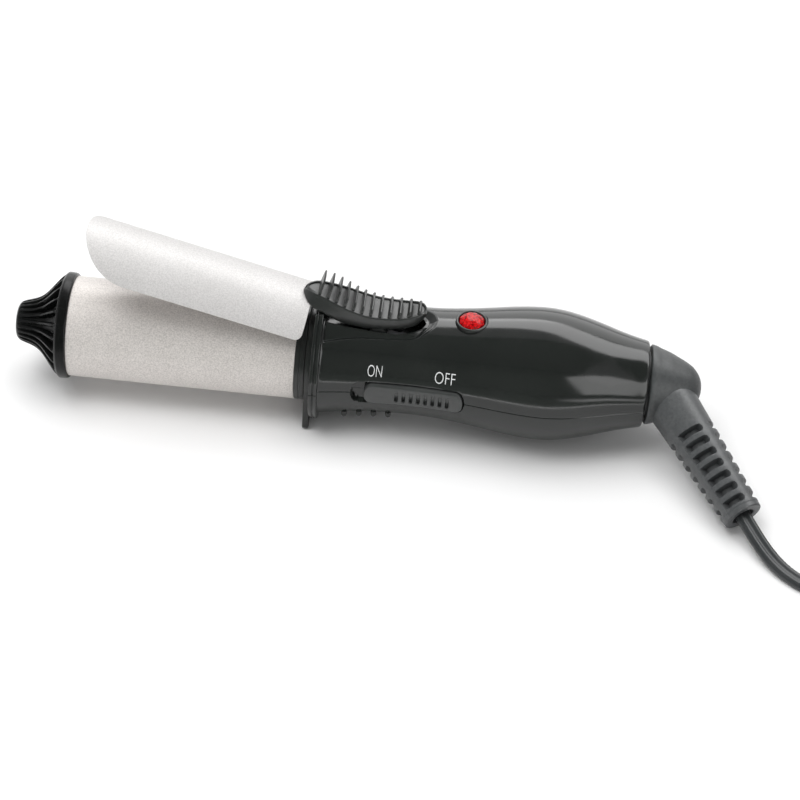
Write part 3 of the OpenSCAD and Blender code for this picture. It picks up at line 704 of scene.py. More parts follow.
def rounded_rect(px, pz, x0, x1, z0, z1, r):
    """Signed distance to a rounded rectangle, positive inside."""
    cx, cz = (x0 + x1) / 2, (z0 + z1) / 2
    qx = np.abs(px - cx) - (x1 - x0) / 2 + r
    qz = np.abs(pz - cz) - (z1 - z0) / 2 + r
    out = np.hypot(np.maximum(qx, 0), np.maximum(qz, 0)) + np.minimum(np.maximum(qx, qz), 0) - r
    return -out


ZK = 0.68  # the recess and the button have corners that are longer upwards than along


def half_shell(upper):
    rows = [(-4.8, 21.25), (-4.76, 21.42), (-4.66, 21.55), (-4.5, 21.6), (-3.86, 21.6), (-3.74, 21.52), (-3.66, 21.34), (-3.6, 21.2), (-3.4, 21.2), (-3.34, 21.34), (-3.26, 21.52), (-3.14, 21.6), (-2.5, 21.6), (-2.34, 21.55), (-2.24, 21.42), (-2.2, 21.25), (-2.2, 20.5), (-2.19, 20.05), (-2.12, 19.83), (-1.95, 19.68), (-1.65, 19.58)]
    xs = list(np.arange(-1.3, 46.5, 0.27)) + list(np.arange(46.8, 99.5, 0.62))
    rows += [(x, float(R(x))) for x in xs] + [(99.75, 13.9), (100.1, 13.8), (100.36, 13.62), (100.47, 13.42), (100.5, 13.15)]
    # round the half circle, finest at the seam
    edge = [0.0, 0.05, 0.12, 0.22, 0.4]
    inner = np.linspace(-90 + 1.2 * math.degrees(0.4 / 18) , 90 - 1.2 * math.degrees(0.4 / 18), 208)
    th = [-90 + math.degrees(q / 18) for q in edge[:-1]] + list(inner) + [90 - math.degrees(q / 18) for q in edge[:-1][::-1]]
    th = np.array(th)
    if not upper:
        th = 180 - th
    T = np.radians(th)
    X = np.array([q[0] for q in rows])[:, None] * np.ones(len(T))[None, :]
    RB = np.array([q[1] for q in rows])[:, None] * np.ones(len(T))[None, :]
    # theta is measured from the top towards -Y
    S, Cs = np.sin(T)[None, :], np.cos(T)[None, :]
    RR = RB.copy()
    body = X > -1.5
    if upper:
        px, py = X, -RB * S
        sd = inside_distance(px, py, WELL_LOOP)
        depth = 0.9 + 0.75 * step(24.5, 29.5, X)
        width = 0.72 + 2.1 * step(26.0, 31.0, X)
        fall = step(-0.12, 1.0, sd / width)
        flat = np.where(X < -1.5, 0.0, 1.0)
        RR = RR - np.where(Cs > 0.2, depth * fall, 0) * flat
    # recess of the slide button on the -Y side
    z = RB * Cs
    sd = rounded_rect(X, z * ZK, 8.3, 43.8, -4.5 * ZK, 4.0 * ZK, 2.75)
    target = 15.62 / np.maximum(S, 0.2)
    inn = step(-0.10, 0.30, sd)
    RR = np.where((S > 0.7) & body, RR + (np.minimum(target, RR) - RR) * inn, RR)
    # fine groove at the seam between the two halves
    arc = (90 - np.abs(np.where(th > 90, 180 - th, th)))[None, :] * math.pi / 180 * RB
    RR = RR - 0.16 * np.exp(-((arc / 0.11) ** 2)) * np.where(inn > 0.02, 0.3, 1.0)
    V = np.stack([X, -RR * S, AZ + RR * Cs], -1).reshape(-1, 3)
    nu, nv = X.shape
    verts = [tuple(v) for v in V]
    faces = grid_faces(nu, nv)
    c0, c1 = len(verts), len(verts) + 1
    verts += [(-4.8, 0, AZ), (100.5, 0, AZ)]
    faces += [(c0, j, j + 1) for j in range(nv - 1)]
    faces += [(c1, (nu - 1) * nv + j + 1, (nu - 1) * nv + j) for j in range(nv - 1)]
    faces.append(tuple([c0] + [i * nv for i in range(nu)] + [c1] + [i * nv + nv - 1 for i in range(nu - 1, -1, -1)]))
    return mesh_obj("half", verts, faces)


FLANGE_CUT = [(-6.1, 13.6), (6.1, 13.6), (6.1, 19.9), (6.16, 20.15), (6.3, 20.4), (6.52, 20.62), (6.8, 20.8), (6.8, 40), (-6.8, 40), (-6.8, 20.8), (-6.52, 20.62), (-6.3, 20.4), (-6.16, 20.15), (-6.1, 19.9)]


def cavity(upper):
    inner = [(x, float(R(x)) - 2.4) for x in np.arange(3.0, 97.0, 2.0)]
    c = lathe("cavity", [(2.5, 0), (2.5, inner[0][1])] + inner + [(97.5, inner[-1][1] - 0.4), (97.5, 0)], 72)
    for x in (53, 77):
        boolean(c, turned("boss", x, 0, [(0, -30), (3.9, -30), (3.9, 30), (0, 30)], 32))
    for a, b in ((82, 83.5), (91, 92.5)):
        boolean(c, rod(a, b, 30, 16))
    boolean(c, box(6, 46, -30, -13.9, -7, 7))
    if upper:
        boolean(c, prism([(x, y * 1.06) for x, y in WELL_LOOP], 7.8, 40))
    return c


def make_shell(upper):
    ob = half_shell(upper)
    cuts = cavity(upper)
    tools = [rod(-10, 6, 11.65, 96), rod(90, 110, 6.06), rod(79.5, 94.6, 9.66), box(25.9, 34.4, -20, -10, -1.3, 1.3)]
    if upper:
        tools += [
            prism_x(FLANGE_CUT, -5.8, -2.19),
            prism([(p[0], p[1]) for p in SLOT_LOOP if p[0] > 6.4] + [(6.5, -6.1), (6.5, 6.1)], 9, 40),
            prism(SLOT_LOOP, 12.9, 40),
            turned("lamp", 43.8, 0, [(0, 10), (5.15, 10), (5.15, 40), (0, 40)], 64),
            lathe_y(14.9, 13.5, 1.02, -8.1, 8.1),
        ]
        for x in (53, 77):
            tools.append(turned("pilot", x, 0, [(0, -1), (1.35, -1), (1.35, 11), (0, 11)], 24))
    else:
        tools += [box(-6, -1, -40, 40, -40, -AZ)]
        for x in (53, 77):
            tools.append(turned("cb", x, 0, [(0, -30), (2.8, -30), (2.8, -10), (0, -10)], 40))
            tools.append(turned("clr", x, 0, [(0, -12), (1.5, -12), (1.5, 2), (0, 2)], 24))
    for t in tools:
        boolean(cuts, t, "UNION")
    boolean(ob, cuts)
    if not upper:
        ribs = [grip_rib(6.3 + 4.65 * i) for i in range(4)]
        ob = join("lower", ob, *ribs)
    return ob


def lathe_y(x, z, r, y0, y1, n=24):
    v = [(x + r * math.cos(2 * math.pi * k / n), y, AZ + z + r * math.sin(2 * math.pi * k / n)) for y in (y0, y1) for k in range(n)]
    f = [tuple(range(n)), tuple(range(2 * n - 1, n - 1, -1))] + [(i, (i + 1) % n, n + (i + 1) % n, n + i) for i in range(n)]
    return mesh_obj("pin", v, f)


def grip_rib(x):
    """One rounded rib across the underside."""
    sec = []
    for k in range(13):
        a = math.pi * k / 12
        sec.append((0.86 * math.cos(a), 0.80 + 0.86 * math.sin(a)))
    sec = [(0.86, -1.0)] + sec + [(-0.86, -1.0)]
    verts = []
    n = 61
    for j in range(n):
        q = -1 + 2 * j / (n - 1)
        a = math.radians(180 + 48 * q)
        h = 1 - max(0.0, (abs(q) - 0.9) / 0.1) ** 2 * 0.75
        r = float(R(x))
        for dx, dz in sec:
            rr = r + (dz * h if dz > 0 else dz)
            verts.append((x + dx, -rr * math.sin(a), AZ + rr * math.cos(a)))
    m = len(sec)
    faces = grid_faces(n, m, closed_v=True)
    faces.append(tuple(range(m)))
    faces.append(tuple((n - 1) * m + k for k in range(m - 1, -1, -1)))
    return mesh_obj("rib", verts, faces)


upper_ob = done(make_shell(True), "handle_upper_half", "handle", ("upper_handle_shell",), MAT["handle_plastic"], angle=38)
lower_ob = done(make_shell(False), "handle_lower_half", "handle", ("lower_handle_shell",), MAT["handle_plastic"], angle=38)


# ------------------------------------------------------------------ lettering beside the switch, printed on the shell
def lettering(word, x0, x1, theta, height, name):
    cu = bpy.data.curves.new(name, "FONT")
    cu.body = word
    cu.size = 1.0
    cu.offset = -0.016
    cu.resolution_u = 8
    tmp = bpy.data.objects.new(name, cu)
    scene.collection.objects.link(tmp)
    dg = bpy.context.evaluated_depsgraph_get()
    me = bpy.data.meshes.new_from_object(tmp.evaluated_get(dg))
    bpy.data.objects.remove(tmp)
    bm = bmesh.new()
    bm.from_mesh(me)
    bmesh.ops.remove_doubles(bm, verts=bm.verts, dist=1e-5)
    xs = [v.co.x for v in bm.verts]
    ys = [v.co.y for v in bm.verts]
    lo, hi, yl, yh = min(xs), max(xs), min(ys), max(ys)
    for v in bm.verts:
        v.co.x = x0 + (v.co.x - lo) / (hi - lo) * (x1 - x0)
        v.co.y = ((v.co.y - yl) / (yh - yl) - 0.5) * height
        v.co.z = 0
    for k in range(1, 16):
        y = -height / 2 + height * k / 16
        bmesh.ops.bisect_plane(bm, geom=bm.verts[:] + bm.edges[:] + bm.faces[:], plane_co=(0, y, 0), plane_no=(0, 1, 0))
    for k in range(1, 20):
        x = x0 + (x1 - x0) * k / 20
        bmesh.ops.bisect_plane(bm, geom=bm.verts[:] + bm.edges[:] + bm.faces[:], plane_co=(x, 0, 0), plane_no=(1, 0, 0))
    ext = bmesh.ops.extrude_face_region(bm, geom=bm.faces[:])
    low = {v for v in ext["geom"] if isinstance(v, bmesh.types.BMVert)}
    for v in bm.verts:
        r = float(R(v.co.x)) + (-0.05 if v in low else 0.022)
        t = theta - v.co.y / float(R(v.co.x))
        v.co = (v.co.x, -r * math.sin(t), AZ + r * math.cos(t))
    bmesh.ops.recalc_face_normals(bm, faces=bm.faces)
    bm.to_mesh(me)
    bm.free()
    ob = bpy.data.objects.new(name, me)
    scene.collection.objects.link(ob)
    return done(ob, name, "handle", (), MAT["ink"], angle=30)


lettering("ON", 13.05, 17.55, math.radians(64.0), 3.75, "lettering_on")
lettering("OFF", 34.1, 40.45, math.radians(64.2), 3.8, "lettering_off")


# ------------------------------------------------------------------ stand plate, collar, barrel, tip
def make_stand():
    poly = []
    n = 72
    a1 = math.degrees(math.asin(15.3 / 16.0))
    for k in range(n + 1):
        a = math.radians(-(180 - a1) + 2 * (180 - a1) * k / n)  # from the top, towards +Y
        poly.append((16.0 * math.sin(a), 16.0 * math.cos(a)))
    poly.append((15.3, -12.0))
    for k in range(9):
        a = math.pi / 2 * k / 8
        poly.append((13.3 + 2 * math.cos(a), -19.1 - 2 * math.sin(a)))
    for k in range(9):
        a = math.pi / 2 + math.pi / 2 * k / 8
        poly.append((-13.3 + 2 * math.cos(a), -19.1 - 2 * math.sin(a)))
    poly.append((-15.3, -12.0))
    ob = prism_x(poly, -6.8, -4.8)
    bevel(ob, 0.3, 3, 50)
    boolean(ob, rod(-10, 0, 11.65, 96))
    return ob


done(make_stand(), "stand_foot_plate", "handle", ("stand_plate",), MAT["black_trim"], angle=40)


def arc_pts(cx, cy, r, a0, a1, n):
    return [(cx + r * math.cos(math.radians(a0 + (a1 - a0) * k / n)), cy + r * math.sin(math.radians(a0 + (a1 - a0) * k / n))) for k in range(n + 1)]


collar = [(-14.9, 10.0), (-15, 10.1), (-15, 14.9), (-14.7, 15.14), (-10.12, 15.14), (-10.12, 15.7)]
collar += [(-10.08, 15.86), (-9.96, 15.96), (-9.8, 16.0), (-8.75, 16.0), (-8.65, 15.9), (-8.45, 15.86), (-8.25, 15.9), (-8.15, 16.0), (-7.05, 16.0), (-6.92, 15.95), (-6.84, 15.84), (-6.8, 15.7), (-6.8, 11.6), (4.8, 11.6), (5.0, 11.4), (5.0, 10.1), (4.9, 10.0)]
done(lathe("collar", collar, 192, closed=True), "barrel_collar_ring", "handle", ("barrel_collar",), MAT["black_trim"])

barrel = [(-82.45, 15.25), (-82.45, 15.75), (-82.4, 15.88), (-82.28, 15.97), (-82.1, 16.0)]
barrel += [(x, 16.0) for x in np.arange(-80, -11, 3.0)]
barrel += [(-10.4, 16.0), (-10.22, 15.96), (-10.13, 15.86), (-10.1, 15.72), (-10.1, 15.2)]
barrel += [(x, 15.2) for x in (-12, -30, -60, -80)] + [(-82.38, 15.2)]
done(lathe("barrel", barrel, 256, closed=True), "heated_barrel", "handle", ("barrel_tube",), MAT["barrel_metal"])

TIP = smooth_pts([(-100.5, 3.2), (-100.2, 5.0), (-99.4, 6.1), (-98, 6.75), (-96, 7.35), (-94, 8.15), (-92.2, 9.4), (-90.5, 11.2), (-88.8, 13.3), (-87.2, 15.2), (-85.9, 16.4), (-85.4, 16.85)], 10)


def make_tip():
    """Nose of the cool tip: 23 ribs of even thickness with rounded channels between them."""
    P = np.concatenate([[(-100.52, 0.6), (-100.52, 1.6), (-100.51, 2.4)], TIP])
    seg = np.linalg.norm(np.diff(P, axis=0), axis=1)
    s = np.concatenate([[0], np.cumsum(seg)])
    # even steps along the profile
    u = np.linspace(0, s[-1], 104)
    X, RB = np.interp(u, s, P[:, 0]), np.interp(u, s, P[:, 1])
    tx, tr = np.gradient(X, u), np.gradient(RB, u)
    ln = np.hypot(tx, tr)
    nx, nr = -tr / ln, tx / ln  # outward normal of the profile
    per = 18
    n = 23 * per
    th = 2 * math.pi * np.arange(n) / n
    # angle from the nearest rib's middle
    cell = 2 * math.pi / 23
    da = np.abs((th + math.radians(4) + cell / 2) % cell - cell / 2)
    verts = []
    s_in = float(np.interp(-99.7, X, u))
    s_rim = float(np.interp(-86.15, X, u))
    for i in range(len(u)):
        d = RB[i] * da
        half = 0.40
        shape = step(half - 0.10, half + 0.34, d)
        up = float(step(s_in, s_in + 2.6, u[i]))
        end = 1 - float(step(s_rim - 0.12, s_rim + 0.12, u[i]))
        depth = (0.75 + 1.55 * float(step(-98, -89, X[i]))) * up * end
        push = depth * shape
        # crown of each rib stands a little proud where it leaves the face
        x = X[i] - nx[i] * push
        r = RB[i] - nr[i] * push
        for k in range(n):
            verts.append((x[k], r[k] * math.sin(th[k]), AZ + r[k] * math.cos(th[k])))
    rows = len(u)
    # rim band, then the spigot in the barrel
    extra = [(-85.32, 16.93), (-85.2, 17.0), (-85.0, 17.03), (-84.2, 17.0), (-83.2, 16.9), (-82.85, 16.82), (-82.62, 16.7), (-82.5, 16.5), (-82.45, 16.3), (-82.44, 15.16), (-82.2, 15.12), (-79.6, 15.12), (-79.4, 14.95), (-79.4, 12.9), (-79.5, 12.8), (-85.5, 12.8), (-86.4, 11.6), (-87.4, 9.0), (-87.6, 4.4), (-87.5, 4.2), (-79.5, 4.2), (-79.4, 4.1), (-79.4, 1.45), (-79.5, 1.35), (-90, 1.35)]
    for x, r in extra:
        for k in range(n):
            rr = r
            verts.append((x, rr * math.sin(th[k]), AZ + rr * math.cos(th[k])))
    m = rows + len(extra)
    faces = grid_faces(m, n, closed_v=True)
    c0, c1 = len(verts), len(verts) + 1
    verts += [(-100.52, 0, AZ), (-90, 0, AZ)]
    faces += [(c0, k, (k + 1) % n) for k in range(n)]
    faces += [(c1, (m - 1) * n + (k + 1) % n, (m - 1) * n + k) for k in range(n)]
    ob = mesh_obj("tip", verts, faces)
    return ob


tip_mesh = make_tip()
done(tip_mesh, "cool_tip_nose", "handle", ("cool_tip",), MAT["tip_black"], angle=50)


# ------------------------------------------------------------------ clamp plate
def make_clamp():
    r0, r1 = 16.4, 17.2
    rm = (r0 + r1) / 2
    half = math.radians(57)
    nu, nv = 150, 97
    verts = []
    for j in range(nv):
        ph = -math.pi / 2 + math.pi * j / (nv - 1)
        q = math.sin(ph)
        xs = -80.8 + 15.5 * (1 - math.cos(ph))
        # the rear corners are rounded to 2.3 mm
        short = max(0.0, 2.3 - (1 - abs(q)) * half * rm)
        rear = -8.35 - (2.3 - math.sqrt(max(0.0, 2.3**2 - short**2)))
        for i in range(nu):
            t = i / (nu - 1)
            x = xs + (rear - xs) * t
            th = half * q
            verts.append((x, -rm * math.sin(th), AZ + rm * math.cos(th)))
    plate = mesh_obj("plate", verts, grid_faces(nv, nu))
    m = plate.modifiers.new("thick", "SOLIDIFY")
    m.thickness = 0.8
    m.offset = 0
    m.use_even_offset = True
    bake_mods(plate)
    bevel(plate, 0.26, 3, 55)
    # tongue under the lever, with the two ears that the hinge pin passes through
    n = 41
    th = math.asin(3.9 / rm)
    tv = []
    for i in range(64):
        x = -9.4 + 32.4 * i / 63
        w = 1.0
        if x > 20.5:
            w = math.sqrt(max(0.0, 1 - ((x - 20.5) / 2.52) ** 2)) * 0.8 + 0.2
        for j in range(n):
            a = th * w * (-1 + 2 * j / (n - 1))
            tv.append((x, -rm * math.sin(a), AZ + rm * math.cos(a)))
    tongue = mesh_obj("tongue", tv, grid_faces(64, n))
    m = tongue.modifiers.new("thick", "SOLIDIFY")
    m.thickness = 0.8
    m.offset = 0
    bake_mods(tongue)
    for x in (1, 20.5):
        boolean(tongue, turned("rv", x, 0, [(0, 10), (1.05, 10), (1.05, 20), (0, 20)], 32))
    ears = []
    for s in (-1, 1):
        out = [(14.9 + 2.6 * math.cos(a), 13.5 + 2.6 * math.sin(a)) for a in np.linspace(math.pi, 2 * math.pi, 25)]
        out += [(17.5, 16.3), (12.3, 16.3)]
        k = len(out)
        y0, y1 = (3.0, 3.9) if s > 0 else (-3.9, -3.0)
        v = [(x, y0, AZ + z) for x, z in out] + [(x, y1, AZ + z) for x, z in out]
        f = [tuple(range(k)), tuple(range(2 * k - 1, k - 1, -1))] + [(i, (i + 1) % k, k + (i + 1) % k, k + i) for i in range(k)]
        e = mesh_obj("ear", v, f)
        boolean(e, lathe_y(14.9, 13.5, 1.07, -10, 10, 32))
        bevel(e, 0.12, 2, 50)
        ears.append(e)
    return opened(plate), opened(join("tongue", tongue, *ears))


spoon, tongue = make_clamp()
done(spoon, "clamp_spoon", "clamp", ("clamp_plate",), MAT["clamp_metal"], angle=40)
# the tongue and its ears get the near-black steel: painted shade under the lever
done(tongue, "clamp_tongue", "clamp", ("clamp_plate",), MAT["shade_painted_steel"], angle=40)

# ------------------------------------------------------------------ thumb lever
L_TOP = smooth_pts([(-11.35, 18.8), (-10.9, 19.6), (-9.7, 20.2), (-7.5, 20.55), (-4.6, 20.6), (0.8, 20.2), (5.6, 19.8), (11, 19.85), (16.5, 21.0), (20.8, 22.5), (24.5, 24.3), (26.3, 24.9), (27.3, 24.4), (27.35, 23.6)], 8)
L_LOW = smooth_pts([(-11.35, 17.4), (-10.9, 16.7), (-10.2, 16.4), (-7, 16.1), (-4, 15.7), (-2, 15.2), (1, 14.4), (4, 14.2), (8, 14.5), (11, 15.0), (14.9, 15.9), (17.4, 16.7), (20.5, 17.8), (24.4, 19.6), (26, 20.9), (27.35, 23.2)], 8)
L_HALF = smooth_pts([(-11.35, 0.0), (-11.25, 0.7), (-10.9, 1.35), (-10, 2.3), (-8.5, 3.3), (-7, 3.85), (-5.5, 4.2), (-3.5, 4.6), (-1, 5.1), (2, 5.55), (5, 5.77), (11, 5.75), (17, 5.3), (20, 4.95), (23, 4.4), (25.5, 3.3), (27.0, 1.6), (27.35, 0.0)], 8)
FIN_H = [5.6, 5.2, 4.5, 3.6, 2.9, 2.4, 2.2, 1.9, 1.9, 1.9, 1.8, 1.3]


def l_top(x):
    return np.interp(x, L_TOP[:, 0], L_TOP[:, 1])


def l_low(x):
    return np.interp(x, L_LOW[:, 0], L_LOW[:, 1])


def l_half(x):
    return np.interp(x, L_HALF[:, 0], L_HALF[:, 1])


def make_lever():
    # outline in plan, evenly spaced, from the nose round the +Y side to the tail
    P = L_HALF
    seg = np.linalg.norm(np.diff(P, axis=0), axis=1)
    s = np.concatenate([[0], np.cumsum(seg)])
    n = 110
    u = np.linspace(0, s[-1], n)
    ox, oy = np.interp(u, s, P[:, 0]), np.interp(u, s, P[:, 1])
    loop = np.concatenate([np.stack([ox, oy], 1), np.stack([ox[-2:0:-1], -oy[-2:0:-1]], 1)])
    m = len(loop)
    tan = np.roll(loop, -1, axis=0) - np.roll(loop, 1, axis=0)
    tan /= np.linalg.norm(tan, axis=1)[:, None]
    nrm = np.stack([-tan[:, 1], tan[:, 0]], 1)  # towards the inside for this direction
    if np.dot(nrm[n // 2], -loop[n // 2]) < 0:
        nrm = -nrm
    centre = np.stack([np.clip(loop[:, 0], -9.4, 24.2), np.zeros(m)], 1)
    rings = []

    flare = np.interp(loop[:, 0], [-11.35, -10.9, -10, -8.5, -7, -5.5, -3.5, -1, 2, 5], [0, 0.14, 0.58, 1.3, 1.45, 1.4, 1.08, 0.6, 0.22, 0])

    def ring(inset, zfun, out=0.0):
        p = loop + nrm * (inset - flare * out)[:, None]
        # keep the two sides apart at the ends
        p[:, 1] = np.where(loop[:, 1] >= 0, np.maximum(p[:, 1], 0), np.minimum(p[:, 1], 0))
        rings.append([(q[0], q[1], zfun(q[0], q[1], k)) for k, q in enumerate(p)])

    def toward(s_, zfun, base):
        p = (loop + nrm * base) * (1 - s_) + centre * s_
        rings.append([(q[0], q[1], zfun(q[0], q[1], k)) for k, q in enumerate(p)])

    top = [float(l_top(x)) for x in loop[:, 0]]
    low = [float(l_low(x)) for x in loop[:, 0]]
    foot = loop - nrm * flare[:, None]
    seat = [math.sqrt(max(17.27**2 - float(q[1]) ** 2, 1.0)) + 0.01 if q[0] < -8.0 else 0.0 for q in foot]
    low = [min(max(a, c), b - 0.5) for a, b, c in zip(low, top, seat)]

    def under(x, y):
        c = math.sqrt(max(17.24**2 - y * y, 1.0))
        return max(c, float(l_low(x)) + 0.2)

    # underside, from the middle out
    for q in (0.999, 0.75, 0.5, 0.2):
        toward(q, lambda x, y, k: under(x, y), 1.25)
    ring(1.25, lambda x, y, k: max(under(x, y) - 0.02, low[k] + 0.1), 0.6)
    ring(1.2, lambda x, y, k: max(min(low[k] + 0.35, under(x, y) - 0.03), low[k] + 0.02), 0.7)
    ring(1.0, lambda x, y, k: low[k] + 0.08, 0.85)
    ring(0.62, lambda x, y, k: low[k], 0.95)
    ring(0.28, lambda x, y, k: low[k] + 0.08, 1.0)
    ring(0.08, lambda x, y, k: low[k] + 0.3, 1.0)
    # skirt, flared out to the plate at the nose and bulging a little half way up behind it
    for f, b, o in ((0.12, -0.02, 0.93), (0.25, -0.07, 0.77), (0.4, -0.1, 0.57), (0.55, -0.1, 0.38), (0.7, -0.07, 0.21), (0.82, -0.03, 0.10)):
        ring(b, lambda x, y, k, f=f: low[k] + 0.3 + (top[k] - 0.55 - low[k] - 0.3) * f, o)
    ring(0.0, lambda x, y, k: top[k] - 0.5)
    for a in (22, 45, 68, 90):
        rr = 0.5
        ring(rr * (1 - math.cos(math.radians(a))), lambda x, y, k, a=a: top[k] - 0.5 + 0.5 * math.sin(math.radians(a)))
    ring(0.72, lambda x, y, k: float(l_top(x)) + 0.02)
    ring(0.86, lambda x, y, k: float(l_top(x)) - 0.10)
    ring(0.94, lambda x, y, k: float(l_top(x)) - 0.34)
    ring(1.06, lambda x, y, k: float(l_top(x)) - 0.42)
    for q in (0.12, 0.3, 0.5, 0.75, 0.999):
        toward(q, lambda x, y, k: float(l_top(x)) - 0.42 + 0.12 * (1 - (y / 5.0) ** 2), 1.06)
    verts = [(p[0], p[1], AZ + p[2]) for r in rings for p in r]
    faces = grid_faces(len(rings), m, closed_v=True)
    # close the two slits along the middle
    ob = None
    for base in (0, (len(rings) - 1) * m):
        for k in range(0, n - 1):
            a, b = base + k, base + k + 1
            c, d = base + (m - k - 1) % m, base + (m - k) % m
            quad = [a, b, c, d]
            uniq = []
            for v in quad:
                if v not in uniq:
                    uniq.append(v)
            if len(uniq) >= 3:
                faces.append(tuple(uniq))
    body = mesh_obj("lever", verts, faces)
    bm = bmesh.new()
    bm.from_mesh(body.data)
    bmesh.ops.remove_doubles(bm, verts=bm.verts, dist=0.012)
    bmesh.ops.dissolve_degenerate(bm, edges=bm.edges, dist=0.004)
    bmesh.ops.recalc_face_normals(bm, faces=bm.faces)
    bm.to_mesh(body.data)
    bm.free()
    # transverse fins, thin at the top, running into the border at both sides
    fins = []
    for i in range(12):
        x0 = -6.65 + 2.85 * i
        h = FIN_H[i]
        w = float(l_half(x0)) - 0.72
        z0 = float(l_top(x0)) - 0.75
        k = 41
        verts_f = []
        cols = [(-1, 0.0), (-1, 0.25), (-1, 0.5), (-1, 0.75), (-0.9, 0.9), (-0.62, 0.97), (0, 1.0), (0.62, 0.97), (0.9, 0.9), (1, 0.75), (1, 0.5), (1, 0.25), (1, 0.0)]
        for j in range(k):
            q = -1 + 2 * j / (k - 1)
            y = w * q
            top = 0.75 + h * math.sqrt(max(0.0, 1 - (max(0.0, abs(q) - 0.82) / 0.19) ** 2)) * (1 - 0.05 * q * q)
            for dx, t in cols:
                half = 0.46 + (0.36 - 0.46) * min(1.0, t * top / 2.6)
                verts_f.append((x0 + dx * half, y, AZ + z0 + t * top))
        mm = len(cols)
        ff = grid_faces(k, mm, closed_v=True)
        ff.append(tuple(range(mm)))
        ff.append(tuple((k - 1) * mm + t for t in range(mm - 1, -1, -1)))
        fins.append(mesh_obj("fin", verts_f, ff))
    # bosses outside the plate's ears
    for sgn in (-1, 1):
        y0, y1 = (3.95, 5.5) if sgn > 0 else (-5.5, -3.95)
        b = lathe_y(14.9, 13.5, 2.9, y0, y1, 64)
        boolean(b, lathe_y(14.9, 13.5, 1.07, -10, 10, 32))
        bevel(b, 0.25, 2, 50)
        fins.append(b)
    return opened(join("lever", body, *fins))


done(make_lever(), "lever_with_fins", "clamp", ("thumb_lever",), MAT["lever_plastic"], angle=38)


# ------------------------------------------------------------------ slide button
def make_slider():
    x0, x1, z0, z1, r = 12.3, 43.5, -4.2, 3.7, 2.5
    nx, nz = 260, 76
    verts = []
    # columns bunch up at the two ends, where the corners are
    t = np.linspace(-1, 1, nx)
    xs = (x0 + x1) / 2 + (x1 - x0) / 2 * (0.5 * t + 0.5 * np.sin(t * math.pi / 2))
    for i, x in enumerate(xs):
        e = min(x - x0, x1 - x)
        cut = (r - math.sqrt(max(0.0, r * r - (r - e) ** 2))) / ZK if e < r else 0.0
        a, b = z0 + cut, z1 - cut
        zz = (a + b) / 2 + (b - a) / 2 * np.sin(np.linspace(-1, 1, nz) * math.pi / 2)
        f01 = (x - x0) / (x1 - x0)
        # upper shoulder: a broad slope that is widest past the middle
        wide = 0.6 + 0.75 * max(0.0, math.sin(math.pi * min(1.0, f01 * 1.02))) ** 1.2 * (0.55 + 0.45 * f01)
        for z in zz:
            d = float(rounded_rect(np.array(x), np.array(z * ZK), x0, x1, z0 * ZK, z1 * ZK, r))
            base = math.sqrt((float(R(x)) + 0.7) ** 2 - z * z)
            f = 0.55
            drop = f - math.sqrt(max(0.0, f * f - max(0.0, f - d) ** 2)) if d < f else 0.0
            up = (z1 - cut) - z
            if up < wide:
                q = 1 - up / wide
                drop += 1.75 * ((wide - 0.3) / 0.95) * (1 - math.sqrt(max(0.0, 1 - q * q * 0.99)))
            y = max(base - drop, 16.05)
            # thumb grooves, deepest at their lower end
            for g in range(8):
                gx = 22.6 + 2.29 * g
                qx = abs(x - gx)
                if qx < 0.9:
                    zc = min(max(z, -2.1), 1.2)
                    dist = math.hypot(qx, z - zc)
                    deep = 0.32 + 0.7 * float(step(1.2, -2.2, z)) ** 1.3
                    y -= deep * (1 - float(step(0.26, 0.66, dist)))
            verts.append((x, -y, AZ + z))
    grid = grid_faces(nx, nz)
    bottom = [i * nz for i in range(nx)] + [(nx - 1) * nz + j for j in range(1, nz)] + [i * nz + nz - 1 for i in range(nx - 2, -1, -1)] + [j for j in range(nz - 2, 0, -1)]
    base = len(verts)
    for k in bottom:
        verts.append((verts[k][0], -15.93, verts[k][2]))
    nb = len(bottom)
    faces = grid + [(bottom[k], bottom[(k + 1) % nb], base + (k + 1) % nb, base + k) for k in range(nb)]
    faces.append(tuple(base + k for k in range(nb)))
    pad = mesh_obj("pad", verts, faces)
    stem = box(30, 34, -16.5, -13.6, -1, 1)
    return join("slider", pad, stem)


done(make_slider(), "slide_button", "slide_switch", ("power_slider",), MAT["slider_plastic"], angle=45)

# ------------------------------------------------------------------ pilot lamp
bez = [(4.15, 14.6), (4.2, 14.5), (5.05, 14.5), (5.1, 14.6), (5.1, 18.55), (5.06, 18.75), (4.95, 18.92), (4.78, 19.0), (4.55, 19.0), (4.36, 18.93), (4.22, 18.78), (4.15, 18.6)]
done(turned("bezel", 43.8, 0, bez, 96, closed=True), "lamp_ring", "handle", ("lamp_bezel",), MAT["black_trim"])


